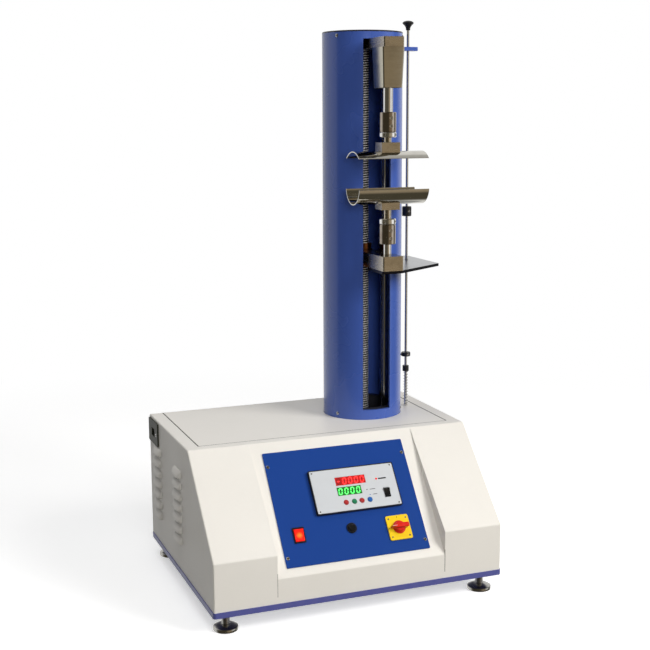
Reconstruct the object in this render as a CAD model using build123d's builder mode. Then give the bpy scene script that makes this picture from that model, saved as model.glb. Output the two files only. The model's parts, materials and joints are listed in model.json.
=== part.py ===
from build123d import *
from math import atan2, cos, radians, sin
import os

# Crush tester for paper cores and rings: a sloped cabinet on four levelling feet carries a slotted round
# column. A lead screw in the column drives a crosshead whose arm comes out of the slot and lifts the lower
# saddle jaw towards the upper one, which hangs from a load cell on a fixed beam. Millimetres, +Z up, front
# towards -Y, origin on the floor under the middle of the machine.

# Cabinet
cabinet_width = 600
cabinet_height = 267
top_depth = 316.5
ridge_setback = 168.5
wing_face_height = 95
fascia_face_height = 48.5
fascia_width = 350
sheet = 2
bend_radius = 5
edge_radius = 3
foot_height = 36
base_thickness = 11
base_overhang = 1.5
base_corner = 6
cover_side_margin = 28
cover_front_margin = 22
cover_gap = 0.8
cover_lip = 12
cover_lap = 6
rear_inset = 3
rear_screw_inset = 30
panel_gap = 0.5
cut_margin = 1

# Louvres on both side walls, two columns each
louvre_length = 52
louvre_height = 13
louvre_reach = 5
louvre_pitch = 23
louvre_rows = 7
louvre_columns = 2
louvre_column_spacing = 166
louvre_back = 68.5
louvre_lowest = 65
louvre_skin = 1.2
louvre_taper = 7
louvre_front = 2

# Levelling feet
foot_inset = 31
foot_radius = 24
foot_rim = 4
foot_edge = 1
foot_dome = 9
foot_crown_drop = 1.2
stud_radius = 7.95
stud_clearance = 0.05
stud_reach = 20
foot_boss_radius = 14
foot_boss_height = 12

# Control panel, on the slope of the fascia
panel_width = 300
panel_height = 235
panel_thickness = 2
panel_x = -3
panel_shift = 3.4376
panel_corner = 2
panel_opening_margin = 15
panel_screw_inset = 6
panel_screw_top, panel_screw_bottom = 29.1, 18.9

# Meter: its middle is placed from the panel's right edge, and its devices from its own middle
meter_side = 127
meter_y = 21.8
meter_width, meter_height = 182, 92
meter_rim = 7
meter_depth = 60
meter_wall = 2.5
meter_border = 2
meter_corner = 3
cutout_overlap = 4
face_thickness = 1.5
face_corner = 2
upper_display_x, upper_display_y = -7, 17.6
upper_display_width = 64
lower_display_x, lower_display_y = -13.8, -3.6
lower_display_width = 51.3
display_height = 17.4
display_depth = 9
display_setback = 0.3
key_row = -27
key_columns = (-26.4, -8.9, 7.1, 24.3)
key_radius = 4.2
key_clearance = 0.1
key_proud = 1.6
key_depth = 7
key_edge = 0.6
meter_rocker_x, meter_rocker_y = 64.2, -16.3
meter_rocker_width, meter_rocker_length = 12, 20

# Mains rocker from the panel's left edge, push button, and cam switch from its right edge
mains_side, mains_y = 37.7, -56.4
mains_width, mains_length = 24, 31.5
mains_corner = 2
mains_rim = 2
mains_overlap = 2
mains_fit = 0.2
mains_body_depth = 24
mains_floor = 3
mains_rocker_width, mains_rocker_length = 18, 25
rocker_tilt = 9
rocker_clearance = 0.3
rocker_pivot_depth = 3
rocker_rise = 1.5
rocker_valley = 1.6
button_x, button_y = -2.8, -56.1
button_ring_radius = 10.5
button_ring_height = 3
button_edge = 0.8
button_bore = 7.5
button_clearance = 0.08
button_barrel = 8.5
barrel_fit = 0.1
button_barrel_depth = 18
button_proud = 2.5
button_stem = 10
cam_side, cam_y = 55.2, -67.9
cam_plate_width, cam_plate_length = 48, 50
cam_plate_thickness = 3
cam_plate_corner = 4
cam_body_width = 44
cam_body_corner = 3
cam_body_depth = 46
cam_knob_radius = 13
cam_knob_height = 9
cam_knob_taper = 6
cam_handle_length = 44.7
cam_handle_width = 9
cam_handle_height = 12
cam_handle_sink = 3
cam_handle_taper = 5
cam_shaft_radius = 4
cam_shaft_depth = 10
cam_neck_radius = 11
cam_clearance = 0.3

# Column, placed from the right wall and from the back, and its stand under the top cover
column_side, column_back = 159.5, 145
column_radius = 84.15
column_wall = 6
column_length = 840
cap_thickness = 3
cap_edge = 1
slot_width = 62
slot_sill = 21
bed_drop = 34
bed_thickness = 12
bed_width, bed_depth = 200, 210
bed_ear_reach = 14
bed_ear_width = 44
leg_radius = 15
leg_inset = 20
spigot_fit = 0.1
spigot_wall = 16
plug_height = 14.5
column_screw_angles = (90, 210, 330)
column_screw_rise = 10
column_screw_drop = 7

# Screw drive
guide_radius = 10
guide_fit = 0.05
socket_wall = 5
socket_height = 20
guide_offset = 50
drive_setback = 8
screw_radius = 11
screw_tail = 72
screw_relief = 2
journal_radius = 8.5
journal_recess = 2.5
running_clearance = 0.05
bearing_radius = 21
bearing_fit = 0.05
bearing_height = 12
bearing_recess = 1
bearing_gap = 0.5
pulley_rise = 8
pulley_height = 22
screw_pulley_radius = 40
motor_pulley_radius = 20
pulley_flange = 3
pulley_rim = 2
pulley_rim_slope = 1
pulley_fit = 0.02
belt_width = 14
belt_thickness = 2
belt_clearance = 0.1
motor_offset = 160
motor_radius = 42
motor_shaft_radius = 6
motor_gap = 11
motor_foot = 110
motor_foot_height = 8
gear_case_height = 55
gear_case_width = 90
gear_case_corner = 10

# Crosshead and top beam
cross_width = 138
cross_depth = 36
crosshead_rise = 306
crosshead_height = 24
arm_height = 30
arm_width = 45
arm_overhang = 32
beam_height = 20
beam_width = 44
beam_overhang = 30
beam_hole_margin = 2
bush_radius = 13
bush_length = 52
bush_fit = 0.05
nut_radius = 17
nut_flange_radius = 20
nut_flange = 6
nut_height = 20
nut_tail = 4
nut_flange_gap = 2
arm_chamfer = 2

# Trip plate, which reaches round the column to the limit rod
plate_thickness = 6
plate_rod_margin = 38
plate_corner_lead = 75.5
plate_rear_reach = 82.5
plate_overhang = 26
plate_clearance = 4
plate_rod_hole = 4.5

# Jaws, on the load axis in front of the column
jaw_offset = 131.5
saddle_length = 153
saddle_sheet = 2
lower_saddle_radius = 35.75
lower_saddle_depth = 31.5
upper_saddle_radius = 46
upper_saddle_depth = 14.5
weld_gap = 0.1
seat_share = 0.75
boss_width = 40
boss_depth = 34
lower_boss_height = 10.5
upper_boss_height = 17.3
neck_radius = 7.5
lower_neck_length = 30
upper_neck_length = 20.5
ring_radius = 17.5
ring_edge = 1.5
lower_ring_height = 11.8
upper_ring_height = 11
coupling_radius = 17
coupling_edge = 1
lower_coupling_height = 40.3
upper_coupling_height = 39.5
shank_radius = 8
lower_spigot_length = 22.7
upper_shank_radius = 10
upper_spigot_length = 53
ring_clearance = 0.05
face_clearance = 0.2
grub_radius = 3.5
grub_depth = 4
grub_spacing = 16
spanner_holes = 4
spanner_hole_radius = 2
spanner_hole_depth = 4

# Load cell and its cover
cell_height = 73.5
cell_width = 36
cell_depth = 20
cell_cut = 3
cell_web = 6
cell_cut_share = 0.3
cell_hole_radius = 7.2
cover_height = 79
cover_bottom_width, cover_bottom_depth = 42, 50
cover_top_width, cover_top_depth = 48, 56
cover_sheet = 1.5

# Limit rod at the column's right side
rod_offset_x, rod_offset_y = 107.5, 5.5
rod_radius = 3
rod_clearance = 0.06
rod_tail = 88
knob_rise = 10
knob_radius = 12
knob_height = 17
knob_dome = 9.5
knob_neck = 6.5
lug_drop = 33
lug_height = 8
lug_width = 24
lug_reach = 19
lug_corner = 4
upper_collar_gap = 96
upper_collar_height = 21
lower_collar_gap = 21
lower_collar_height = 9
collar_radius = 10
collar_edge = 0.8
spring_height = 79
seat_height = 13
seat_radius = 7
thumb_radius = 4
thumb_length = 9
thumb_root = 1
spring_radius = 4.4
spring_wire = 0.7
spring_turns = 12
rod_travel = 6
switch_cam_rise = 10
switch_cam_height = 8
switch_cam_radius = 8
switch_gap = 1.5
switch_offset_x, switch_offset_y = 2, 5
switch_length, switch_depth, switch_height = 28, 10, 16
plunger_offset_x, plunger_offset_y = 3, 3
plunger_radius = 1.5
plunger_height = 1
bracket_thickness = 4
bracket_margin = 2

# Connector plate with the mains inlet on the left wall
connector_back = 40.5
connector_drop = 30
connector_width, connector_height = 78, 50
connector_thickness = 3
connector_corner = 3
inlet_width, inlet_height = 25, 17
inlet_corner = 2
inlet_depth = 14
inlet_wall = 2
inlet_pin_length = 11
inlet_pin_width, inlet_pin_height = 2, 4
inlet_pin_spacing = 14
inlet_pin_level, inlet_earth_level = 1, 5
connector_screw_inset = 9

# Fasteners and the power supply
screw_head_radius = 3.6
screw_head_height = 2
screw_head_taper = 20
screw_shank_radius = 2
screw_hole_clearance = 0.1
column_screw_length = 11
tapped_margin = 3
supply_width, supply_depth, supply_height = 110, 80, 55
supply_side, supply_setback = 120, 94
supply_edge = 2

# Heights and faces that follow from the sizes above
base_top = foot_height + base_thickness
cabinet_top = base_top + cabinet_height
cabinet_depth = ridge_setback + top_depth
front_y = -cabinet_depth / 2
back_y = cabinet_depth / 2
ridge_y = front_y + ridge_setback
side_x = cabinet_width / 2
column_x, column_y = side_x - column_side, back_y - column_back
drive_y = column_y - drive_setback
axis_y = column_y - jaw_offset
rod_x, rod_y = column_x + rod_offset_x, column_y + rod_offset_y
bore_radius = column_radius - column_wall
bed_top = cabinet_top - bed_drop
column_top = bed_top + column_length
slot_bottom = cabinet_top + slot_sill
slot_top = column_top - plug_height
slope = atan2(cabinet_height - fascia_face_height, ridge_setback)
slope_length = ridge_setback / cos(slope)
fascia = Plane(origin=(0, ridge_y, cabinet_top), x_dir=(1, 0, 0), z_dir=(0, -sin(slope), cos(slope)))
panel_origin = fascia.from_local_coords((panel_x, -slope_length / 2 - panel_shift, 0))
panel_face = Plane(origin=panel_origin, x_dir=(1, 0, 0), z_dir=fascia.z_dir)
meter_x = panel_width / 2 - meter_side
mains_x = mains_side - panel_width / 2
cam_x = panel_width / 2 - cam_side

# The moving jaw stands on the crosshead's arm, and the fixed one hangs from the top beam
crosshead_bottom = slot_bottom + crosshead_rise
crosshead_top = crosshead_bottom + crosshead_height
arm_top = crosshead_bottom + arm_height
lower_coupling_bottom = arm_top + lower_spigot_length
lower_ring_bottom = lower_coupling_bottom + lower_coupling_height
lower_boss_bottom = lower_ring_bottom + lower_neck_length
lower_saddle_bottom = lower_boss_bottom + lower_boss_height
beam_bottom = slot_top - beam_height
cell_bottom = beam_bottom - cell_height
upper_coupling_top = cell_bottom - upper_spigot_length
upper_ring_top = upper_coupling_top - upper_coupling_height
upper_boss_top = upper_ring_top - upper_neck_length
upper_saddle_top = upper_boss_top - upper_boss_height

def on_panel(x, y, height=0):
    """A plane parallel to the control panel, centred on one of its devices."""
    return Plane(origin=panel_face.from_local_coords((x, y, height)), x_dir=(1, 0, 0), z_dir=fascia.z_dir)


def upright(x, y):
    """The vertical plane through an upright axis: its x is the radius and its y the height."""
    return Plane(origin=(x, y, 0), x_dir=(1, 0, 0), z_dir=(0, -1, 0))


def turned(x, y, *outline):
    """Turns an outline of (radius, height) points about the upright axis at x, y."""
    with BuildSketch(upright(x, y)) as section:
        with BuildLine():
            Polyline(*outline, close=True)
        make_face()
    revolve(section.sketch, axis=Axis((x, y, 0), (0, 0, 1)))


def post(x, y, bottom, radius, height, mode=Mode.ADD):
    """A round bar, or with Mode.SUBTRACT a round hole, standing at x, y."""
    with BuildSketch(Plane((x, y, bottom))) as section:
        Circle(radius)
    extrude(section.sketch, amount=height, mode=mode)


def block(x, y, bottom, width, depth, height, mode=Mode.ADD):
    """A rectangular block centred on x, y."""
    with BuildSketch(Plane((x, y, bottom))) as section:
        Rectangle(width, depth)
    extrude(section.sketch, amount=height, mode=mode)


# Screws that hold the sheet parts: the plane of each one lies on the face under its head
panel_screw_x = panel_width / 2 - panel_screw_inset
panel_screw_rows = (panel_height / 2 - panel_screw_top, panel_screw_bottom - panel_height / 2)
panel_screws = [
    on_panel(x, y, panel_thickness) for x in (-panel_screw_x, panel_screw_x) for y in panel_screw_rows
]
column_screws = [
    Plane(
        origin=(column_x + column_radius * cos(radians(a)), column_y + column_radius * sin(radians(a)), z),
        x_dir=(-sin(radians(a)), cos(radians(a)), 0),
        z_dir=(cos(radians(a)), sin(radians(a)), 0),
    )
    for a in column_screw_angles
    for z in (cabinet_top + column_screw_rise, column_top - column_screw_drop)
]
rear_face_y = back_y - rear_inset
rear_screw_x = side_x - sheet - cover_lip / 2
rear_screws = [
    Plane(origin=(x, rear_face_y, z), x_dir=(-1, 0, 0), z_dir=(0, 1, 0))
    for x in (-rear_screw_x, rear_screw_x)
    for z in (base_top + rear_screw_inset, base_top + cabinet_height / 2, cabinet_top - rear_screw_inset)
]
connector_face_x = -side_x - connector_thickness
connector_y, connector_z = back_y - connector_back, cabinet_top - connector_drop
connector_screw_y = connector_width / 2 - connector_screw_inset
connector_screws = [
    Plane(origin=(connector_face_x, connector_y + y, connector_z), x_dir=(0, -1, 0), z_dir=(-1, 0, 0))
    for y in (-connector_screw_y, connector_screw_y)
]


def screw_holes(planes, depth):
    """Clearance holes for the screws that stand on the given planes."""
    for plane in planes:
        with BuildSketch(plane.offset(cut_margin)) as hole:
            Circle(screw_shank_radius + screw_hole_clearance)
        extrude(hole.sketch, amount=-depth - cut_margin, mode=Mode.SUBTRACT)


# Base plate with four tapped bosses for the feet
foot_places = [
    (side * (side_x - foot_inset), end * (back_y - foot_inset)) for end in (-1, 1) for side in (-1, 1)
]
with BuildPart() as base_plate:
    with BuildSketch(Plane((0, 0, foot_height))):
        RectangleRounded(cabinet_width + 2 * base_overhang, cabinet_depth + 2 * base_overhang, base_corner)
    extrude(amount=base_thickness)
    for x, y in foot_places:
        post(x, y, base_top, foot_boss_radius, foot_boss_height)
    for x, y in foot_places:
        hole_length = base_thickness + foot_boss_height + 2 * cut_margin
        post(x, y, foot_height - cut_margin, stud_radius + stud_clearance, hole_length, Mode.SUBTRACT)

# Levelling feet: a crowned disc on a stud that screws into the boss
stud_top = base_top + stud_reach
feet = []
for x, y in foot_places:
    with BuildPart() as foot:
        crown_middle = ((foot_radius + stud_radius) / 2, foot_dome - foot_crown_drop)
        with BuildSketch(upright(x, y)):
            with BuildLine():
                Polyline(
                    (stud_radius, foot_dome),
                    (stud_radius, stud_top),
                    (0, stud_top),
                    (0, 0),
                    (foot_radius - foot_edge, 0),
                    (foot_radius, foot_edge),
                    (foot_radius, foot_rim),
                )
                ThreePointArc((foot_radius, foot_rim), crown_middle, (stud_radius, foot_dome))
            make_face()
        revolve(axis=Axis((x, y, 0), (0, 0, 1)))
    feet.append(foot)
foot_front_left, foot_front_right, foot_back_left, foot_back_right = feet


# Cabinet shell: one bent sheet with two wings, the recessed fascia between them and louvred side walls
def cabinet_run(left, right, face_height, inset=0, mode=Mode.ADD):
    """A length of the cabinet between two stations along X, with its bends rounded.

    With an inset it is drawn inwards by the sheet, but runs out below and behind.
    """
    low, rear = base_top - inset, back_y + inset
    with BuildSketch(Plane.YZ.offset(left)) as section:
        with BuildLine():
            Polyline(
                (front_y, low),
                (front_y, base_top + face_height),
                (ridge_y, cabinet_top),
                (rear, cabinet_top),
                (rear, low),
                close=True,
            )
        make_face()
        if inset:
            offset(amount=-inset, kind=Kind.INTERSECTION)
        bends = [v for v in section.vertices() if v.X < 0 and v.Y > base_top + bend_radius]
        fillet(bends, bend_radius - inset)
    extrude(section.sketch, amount=right - left, mode=mode)


cover_half = side_x - cover_side_margin
cover_front = ridge_y + cover_front_margin
fascia_half = fascia_width / 2
louvre_places = [
    (back_y - louvre_back - column * louvre_column_spacing, base_top + louvre_lowest + row * louvre_pitch)
    for column in range(louvre_columns)
    for row in range(louvre_rows)
]
hood_lean = louvre_skin / louvre_reach
opening_length = louvre_length - 2 * (2 * louvre_skin + louvre_taper * hood_lean)
opening_height = louvre_height - (louvre_height - louvre_front) * hood_lean - louvre_skin
opening_drop = (louvre_height - opening_height) / 2 + louvre_skin
with BuildPart() as cabinet_shell:
    cabinet_run(-side_x, -fascia_half, wing_face_height)
    cabinet_run(fascia_half, side_x, wing_face_height)
    cabinet_run(-fascia_half, fascia_half, fascia_face_height)
    wall_edges = [e for e in cabinet_shell.edges() if abs(e.center().X) > side_x - edge_radius]
    outer_edges = [e for e in wall_edges if back_y - e.center().Y > sheet and e.center().Z - base_top > sheet]
    fillet(outer_edges, edge_radius)
    cabinet_run(-side_x + sheet, -fascia_half - sheet, wing_face_height, sheet, Mode.SUBTRACT)
    cabinet_run(fascia_half + sheet, side_x - sheet, wing_face_height, sheet, Mode.SUBTRACT)
    cabinet_run(-fascia_half - sheet, fascia_half + sheet, fascia_face_height, sheet, Mode.SUBTRACT)
    # Opening for the top cover, with a lip under it on three sides
    opening_depth = back_y - cover_front + cut_margin
    opening_y = cover_front + opening_depth / 2
    block(0, opening_y, cabinet_top - sheet, 2 * cover_half, opening_depth, sheet, Mode.SUBTRACT)
    lip_bottom = cabinet_top - 2 * sheet
    lip_length = back_y - cover_front
    lip_width = cover_lip + cover_lap
    for side in (-1, 1):
        lip_x = side * (cover_half + cover_lap - lip_width / 2)
        block(lip_x, cover_front + lip_length / 2, lip_bottom, lip_width, lip_length, sheet)
    block(0, cover_front - cover_lap + lip_width / 2, lip_bottom, 2 * cover_half, lip_width, sheet)
    # Return flanges that the rear panel is screwed to
    flange_y = rear_face_y - 1.5 * sheet
    flange_height = cabinet_height - 4 * sheet
    for side in (-1, 1):
        flange_x = side * (side_x - sheet / 2 - cover_lip / 2)
        block(flange_x, flange_y, base_top + sheet, cover_lip + sheet, sheet, flange_height)
    # Openings for the devices behind the control panel and for the inlet
    with BuildSketch(panel_face):
        Rectangle(panel_width - 2 * panel_opening_margin, panel_height - 2 * panel_opening_margin)
    extrude(amount=2 * sheet, both=True, mode=Mode.SUBTRACT)
    with BuildSketch(Plane.YZ.offset(-side_x)):
        with Locations((connector_y, connector_z)):
            inlet_opening = 2 * (inlet_wall + panel_gap)
            Rectangle(inlet_width + inlet_opening, inlet_height + inlet_opening)
    extrude(amount=2 * sheet, both=True, mode=Mode.SUBTRACT)
    screw_holes(panel_screws, panel_thickness + 2 * sheet)
    screw_holes(rear_screws, 3 * sheet)
    screw_holes(connector_screws, connector_thickness + 2 * sheet)
    # Pressed louvres, open downwards
    for side in (-1, 1):
        out = side * (side_x + louvre_reach / 2)
        for inside, mode in ((0, Mode.ADD), (louvre_skin, Mode.SUBTRACT)):
            length = louvre_length - 2 * inside
            hood_x, turn = out - side * inside, (0, 0, -90 * side)
            with Locations([Location((hood_x, y, z - inside), turn) for y, z in louvre_places]):
                Wedge(
                    length,
                    louvre_reach,
                    louvre_height,
                    louvre_taper,
                    0,
                    length - louvre_taper,
                    louvre_front,
                    mode=mode,
                )
        # The opening in the wall stays inside the hood
        with Locations([(side * (side_x - sheet), y, z - opening_drop) for y, z in louvre_places]):
            Box(2 * sheet, opening_length, opening_height, mode=Mode.SUBTRACT)

# Top cover with clearance holes for the column and the limit rod
with BuildPart() as top_cover:
    cover_start = cover_front + cover_gap
    block(
        0,
        (cover_start + back_y) / 2,
        cabinet_top - sheet,
        2 * (cover_half - cover_gap),
        back_y - cover_start,
        sheet,
    )
    post(column_x, column_y, cabinet_top - 2 * sheet, column_radius + panel_gap, 3 * sheet, Mode.SUBTRACT)
    post(rod_x, rod_y, cabinet_top - 2 * sheet, rod_radius + rod_clearance, 3 * sheet, Mode.SUBTRACT)

# Rear panel, set into the back of the shell
with BuildPart() as rear_panel:
    rear_width = cabinet_width - 2 * sheet - 2 * panel_gap
    rear_height = cabinet_height - 2 * sheet - 2 * panel_gap
    block(0, rear_face_y - sheet / 2, base_top + panel_gap / 2, rear_width, sheet, rear_height)
    screw_holes(rear_screws, 3 * sheet)

# Column stand: legs, bed plate, the spigot inside the tube and the lug that guides the limit rod
spigot_radius = bore_radius - spigot_fit
rod_bottom = cabinet_top - rod_tail
switch_cam_bottom = rod_bottom + switch_cam_rise
switch_x = rod_x + switch_offset_x
switch_y = rod_y + switch_offset_y + switch_depth / 2
bracket_y = switch_y + switch_depth / 2 + bracket_thickness / 2
bracket_bottom = switch_cam_bottom - rod_travel - switch_gap - switch_height - bracket_margin
with BuildPart() as column_stand:
    block(column_x, column_y, bed_top - bed_thickness, bed_width, bed_depth, bed_thickness)
    with BuildSketch(Plane((0, 0, bed_top - bed_thickness))):
        ear_end = rod_x + bed_ear_reach
        with Locations(((column_x + ear_end) / 2, rod_y)):
            Rectangle(ear_end - column_x, bed_ear_width)
    extrude(amount=bed_thickness)
    for i in (-1, 1):
        for j in (-1, 1):
            leg_x = column_x + i * (bed_width / 2 - leg_inset)
            leg_y = column_y + j * (bed_depth / 2 - leg_inset)
            post(leg_x, leg_y, base_top, leg_radius, bed_top - bed_thickness - base_top)
    post(column_x, column_y, bed_top, spigot_radius, slot_bottom - bed_top)
    post(column_x, column_y, bed_top, spigot_radius - spigot_wall, slot_bottom - bed_top, Mode.SUBTRACT)
    for side in (-1, 1):
        socket_x = column_x + side * guide_offset
        post(socket_x, drive_y, bed_top, guide_radius + socket_wall, socket_height)
        post(socket_x, drive_y, bed_top, guide_radius + guide_fit, socket_height, Mode.SUBTRACT)
    bed_bottom = bed_top - bed_thickness
    post(column_x, drive_y, bed_bottom, bearing_radius + bearing_fit, bed_thickness, Mode.SUBTRACT)
    post(rod_x, rod_y, bed_bottom, rod_radius + rod_clearance, bed_thickness, Mode.SUBTRACT)
    bracket_height = bed_bottom - bracket_bottom
    bracket_width = switch_length + 2 * bracket_margin
    block(switch_x, bracket_y, bracket_bottom, bracket_width, bracket_thickness, bracket_height)
    lower_column_screws = column_screws[0::2]
    screw_holes(lower_column_screws, column_screw_length + tapped_margin)

# Column tube with its front slot and the rod's guide lug near the top
lug_bottom = column_top - lug_drop
with BuildPart() as column_tube:
    post(column_x, column_y, bed_top, column_radius, column_top - bed_top)
    with BuildSketch(Plane((0, 0, lug_bottom))):
        with Locations(((column_x + rod_x + lug_reach) / 2, rod_y)):
            RectangleRounded(rod_x + lug_reach - column_x, lug_width, lug_corner)
    extrude(amount=lug_height)
    post(column_x, column_y, bed_top, bore_radius, column_top - bed_top, Mode.SUBTRACT)
    post(rod_x, rod_y, lug_bottom, rod_radius + rod_clearance, lug_height, Mode.SUBTRACT)
    slot_y, slot_length = column_y - column_radius, slot_top - slot_bottom
    block(column_x, slot_y, slot_bottom, slot_width, column_radius, slot_length, Mode.SUBTRACT)
    screw_holes(column_screws, column_wall + cut_margin)

# Column cap: a plug in the tube that holds the guide rods and the upper bearing
with BuildPart() as column_cap:
    post(column_x, column_y, column_top, column_radius, cap_thickness)
    chamfer(column_cap.edges().group_by(Axis.Z)[-1], cap_edge)
    post(column_x, column_y, slot_top, spigot_radius, plug_height)
    pocket_depth = bearing_recess + bearing_height + bearing_gap
    post(column_x, drive_y, slot_top, bearing_radius + bearing_fit, pocket_depth, Mode.SUBTRACT)
    for side in (-1, 1):
        rod_hole_x = column_x + side * guide_offset
        post(rod_hole_x, drive_y, slot_top, guide_radius + guide_fit, plug_height, Mode.SUBTRACT)
    upper_column_screws = column_screws[1::2]
    screw_holes(upper_column_screws, column_screw_length + tapped_margin)

# Guide rods from the stand to the cap
with BuildPart() as guide_rods:
    for side in (-1, 1):
        post(column_x + side * guide_offset, drive_y, bed_top, guide_radius, column_top - bed_top)

# Lead screw with turned journals
screw_bottom = bed_top - screw_tail
with BuildPart() as lead_screw:
    journal_top = slot_top + bearing_recess + bearing_height - journal_recess
    turned(
        column_x,
        drive_y,
        (0, screw_bottom),
        (journal_radius, screw_bottom),
        (journal_radius, bed_top + screw_relief),
        (screw_radius, bed_top + 2 * screw_relief),
        (screw_radius, slot_top - 2 * screw_relief),
        (journal_radius, slot_top - screw_relief),
        (journal_radius, journal_top),
        (0, journal_top),
    )

# Ball bearings at both ends of the screw, drawn as closed rings
with BuildPart() as screw_bearings:
    for bottom in (bed_top - bed_thickness, slot_top + bearing_recess):
        post(column_x, drive_y, bottom, bearing_radius, bearing_height)
        post(column_x, drive_y, bottom, journal_radius + running_clearance, bearing_height, Mode.SUBTRACT)


# Belt drive from the gearmotor to the screw
def pulley(x, radius, bore):
    """A flanged belt pulley with its hub."""
    low, high = pulley_bottom, pulley_bottom + pulley_height
    rim = radius + pulley_flange
    groove = pulley_rim + pulley_rim_slope
    turned(
        x,
        drive_y,
        (bore, low),
        (rim, low),
        (rim, low + pulley_rim),
        (radius, low + groove),
        (radius, high - groove),
        (rim, high - pulley_rim),
        (rim, high),
        (bore, high),
    )


pulley_bottom = screw_bottom + pulley_rise
motor_x = column_x - motor_offset
with BuildPart() as screw_pulley:
    pulley(column_x, screw_pulley_radius, journal_radius + pulley_fit)
with BuildPart() as motor_pulley:
    pulley(motor_x, motor_pulley_radius, 0)
with BuildPart() as drive_belt:
    belt_plane = Plane((0, 0, pulley_bottom + (pulley_height - belt_width) / 2))
    for grow, mode in ((belt_thickness, Mode.ADD), (0, Mode.SUBTRACT)):
        with BuildSketch(belt_plane):
            with Locations((column_x, drive_y)):
                Circle(screw_pulley_radius + belt_clearance + grow)
            with Locations((motor_x, drive_y)):
                Circle(motor_pulley_radius + belt_clearance + grow)
            make_hull()
        extrude(amount=belt_width, mode=mode)

# Gearmotor standing on the base plate: foot flange, motor can and gear case
motor_top = pulley_bottom - motor_gap
gear_case_bottom = motor_top - gear_case_height
with BuildPart() as gearmotor:
    block(motor_x, drive_y, base_top, motor_foot, motor_foot, motor_foot_height)
    can_bottom = base_top + motor_foot_height
    post(motor_x, drive_y, can_bottom, motor_radius, gear_case_bottom - can_bottom)
    with BuildSketch(Plane((motor_x, drive_y, gear_case_bottom))):
        RectangleRounded(gear_case_width, gear_case_width, gear_case_corner)
    extrude(amount=motor_top - gear_case_bottom)
    post(motor_x, drive_y, motor_top, motor_shaft_radius, pulley_bottom - motor_top)


# Crosshead and top beam share one plan: an arm through the slot and a bridge across the guide rods
def yoke(bottom, front, width, arm, bridge, guide_hole, centre_hole):
    """An arm and a bridge of the given heights, holed for the guide rods and for the screw or its nut."""
    arm_back = drive_y - nut_flange_radius - nut_flange_gap
    block(column_x, (front + drive_y) / 2, bottom, width, drive_y - front, bridge)
    block(column_x, (front + arm_back) / 2, bottom, width, arm_back - front, arm)
    with BuildSketch(Plane((column_x, drive_y, bottom))) as plan:
        RectangleRounded(cross_width, cross_depth, cross_depth / 4)
    extrude(plan.sketch, amount=bridge)
    post(column_x, drive_y, bottom, centre_hole, bridge, Mode.SUBTRACT)
    for side in (-1, 1):
        post(column_x + side * guide_offset, drive_y, bottom, guide_hole, bridge, Mode.SUBTRACT)


with BuildPart() as crosshead:
    yoke(
        crosshead_bottom,
        axis_y - arm_overhang,
        arm_width,
        arm_height,
        crosshead_height,
        bush_radius + bush_fit,
        nut_radius + bush_fit,
    )
    chamfer(crosshead.edges().filter_by(Axis.Z).group_by(Axis.Y)[0], arm_chamfer)

# Bronze screw nut, flanged on top of the crosshead, and the two guide bushes
bush_bottom = crosshead_bottom + crosshead_height / 2 - bush_length / 2
with BuildPart() as nut_and_bushes:
    turned(
        column_x,
        drive_y,
        (screw_radius + running_clearance, crosshead_bottom - nut_tail),
        (nut_radius, crosshead_bottom - nut_tail),
        (nut_radius, crosshead_top),
        (nut_flange_radius, crosshead_top),
        (nut_flange_radius, crosshead_top + nut_flange),
        (nut_radius, crosshead_top + nut_flange),
        (nut_radius, crosshead_top + nut_height),
        (screw_radius + running_clearance, crosshead_top + nut_height),
    )
    for side in (-1, 1):
        bush_x = column_x + side * guide_offset
        post(bush_x, drive_y, bush_bottom, bush_radius, bush_length)
        post(bush_x, drive_y, bush_bottom, guide_radius + running_clearance, bush_length, Mode.SUBTRACT)

# Trip plate under the arm: it reaches round the column and moves the collars on the limit rod
with BuildPart() as trip_plate:
    plate_front, plate_rear = axis_y - plate_overhang, column_y + plate_rear_reach
    plate_left, plate_right = column_x - arm_width / 2, rod_x + plate_rod_margin
    with BuildSketch(Plane((0, 0, crosshead_bottom - plate_thickness))):
        with BuildLine():
            Polyline(
                (plate_left, plate_front),
                (column_x + arm_width / 2, plate_front),
                (plate_right, column_y - plate_corner_lead),
                (plate_right, plate_rear),
                (column_x, plate_rear),
                (column_x, column_y),
                (plate_left, column_y),
                close=True,
            )
        make_face()
        with Locations((column_x, column_y)):
            Circle(column_radius + plate_clearance, mode=Mode.SUBTRACT)
        with Locations((rod_x, rod_y)):
            Circle(plate_rod_hole, mode=Mode.SUBTRACT)
    extrude(amount=plate_thickness)

# Lower jaw: spigot, coupling, lock ring, stem and saddle, all on the load axis
with BuildPart() as lower_spigot:
    post(column_x, axis_y, arm_top, shank_radius, lower_coupling_bottom - arm_top)


def coupling_sleeve(bottom, top):
    """A solid coupling with chamfered ends and two grub-screw holes in its front."""
    turned(
        column_x,
        axis_y,
        (0, bottom),
        (coupling_radius - coupling_edge, bottom),
        (coupling_radius, bottom + coupling_edge),
        (coupling_radius, top - coupling_edge),
        (coupling_radius - coupling_edge, top),
        (0, top),
    )
    for z in ((bottom + top - grub_spacing) / 2, (bottom + top + grub_spacing) / 2):
        front = Plane(origin=(column_x, axis_y - coupling_radius, z), x_dir=(1, 0, 0), z_dir=(0, -1, 0))
        with BuildSketch(front) as hole:
            Circle(grub_radius)
        extrude(hole.sketch, amount=-grub_depth, mode=Mode.SUBTRACT)


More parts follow.
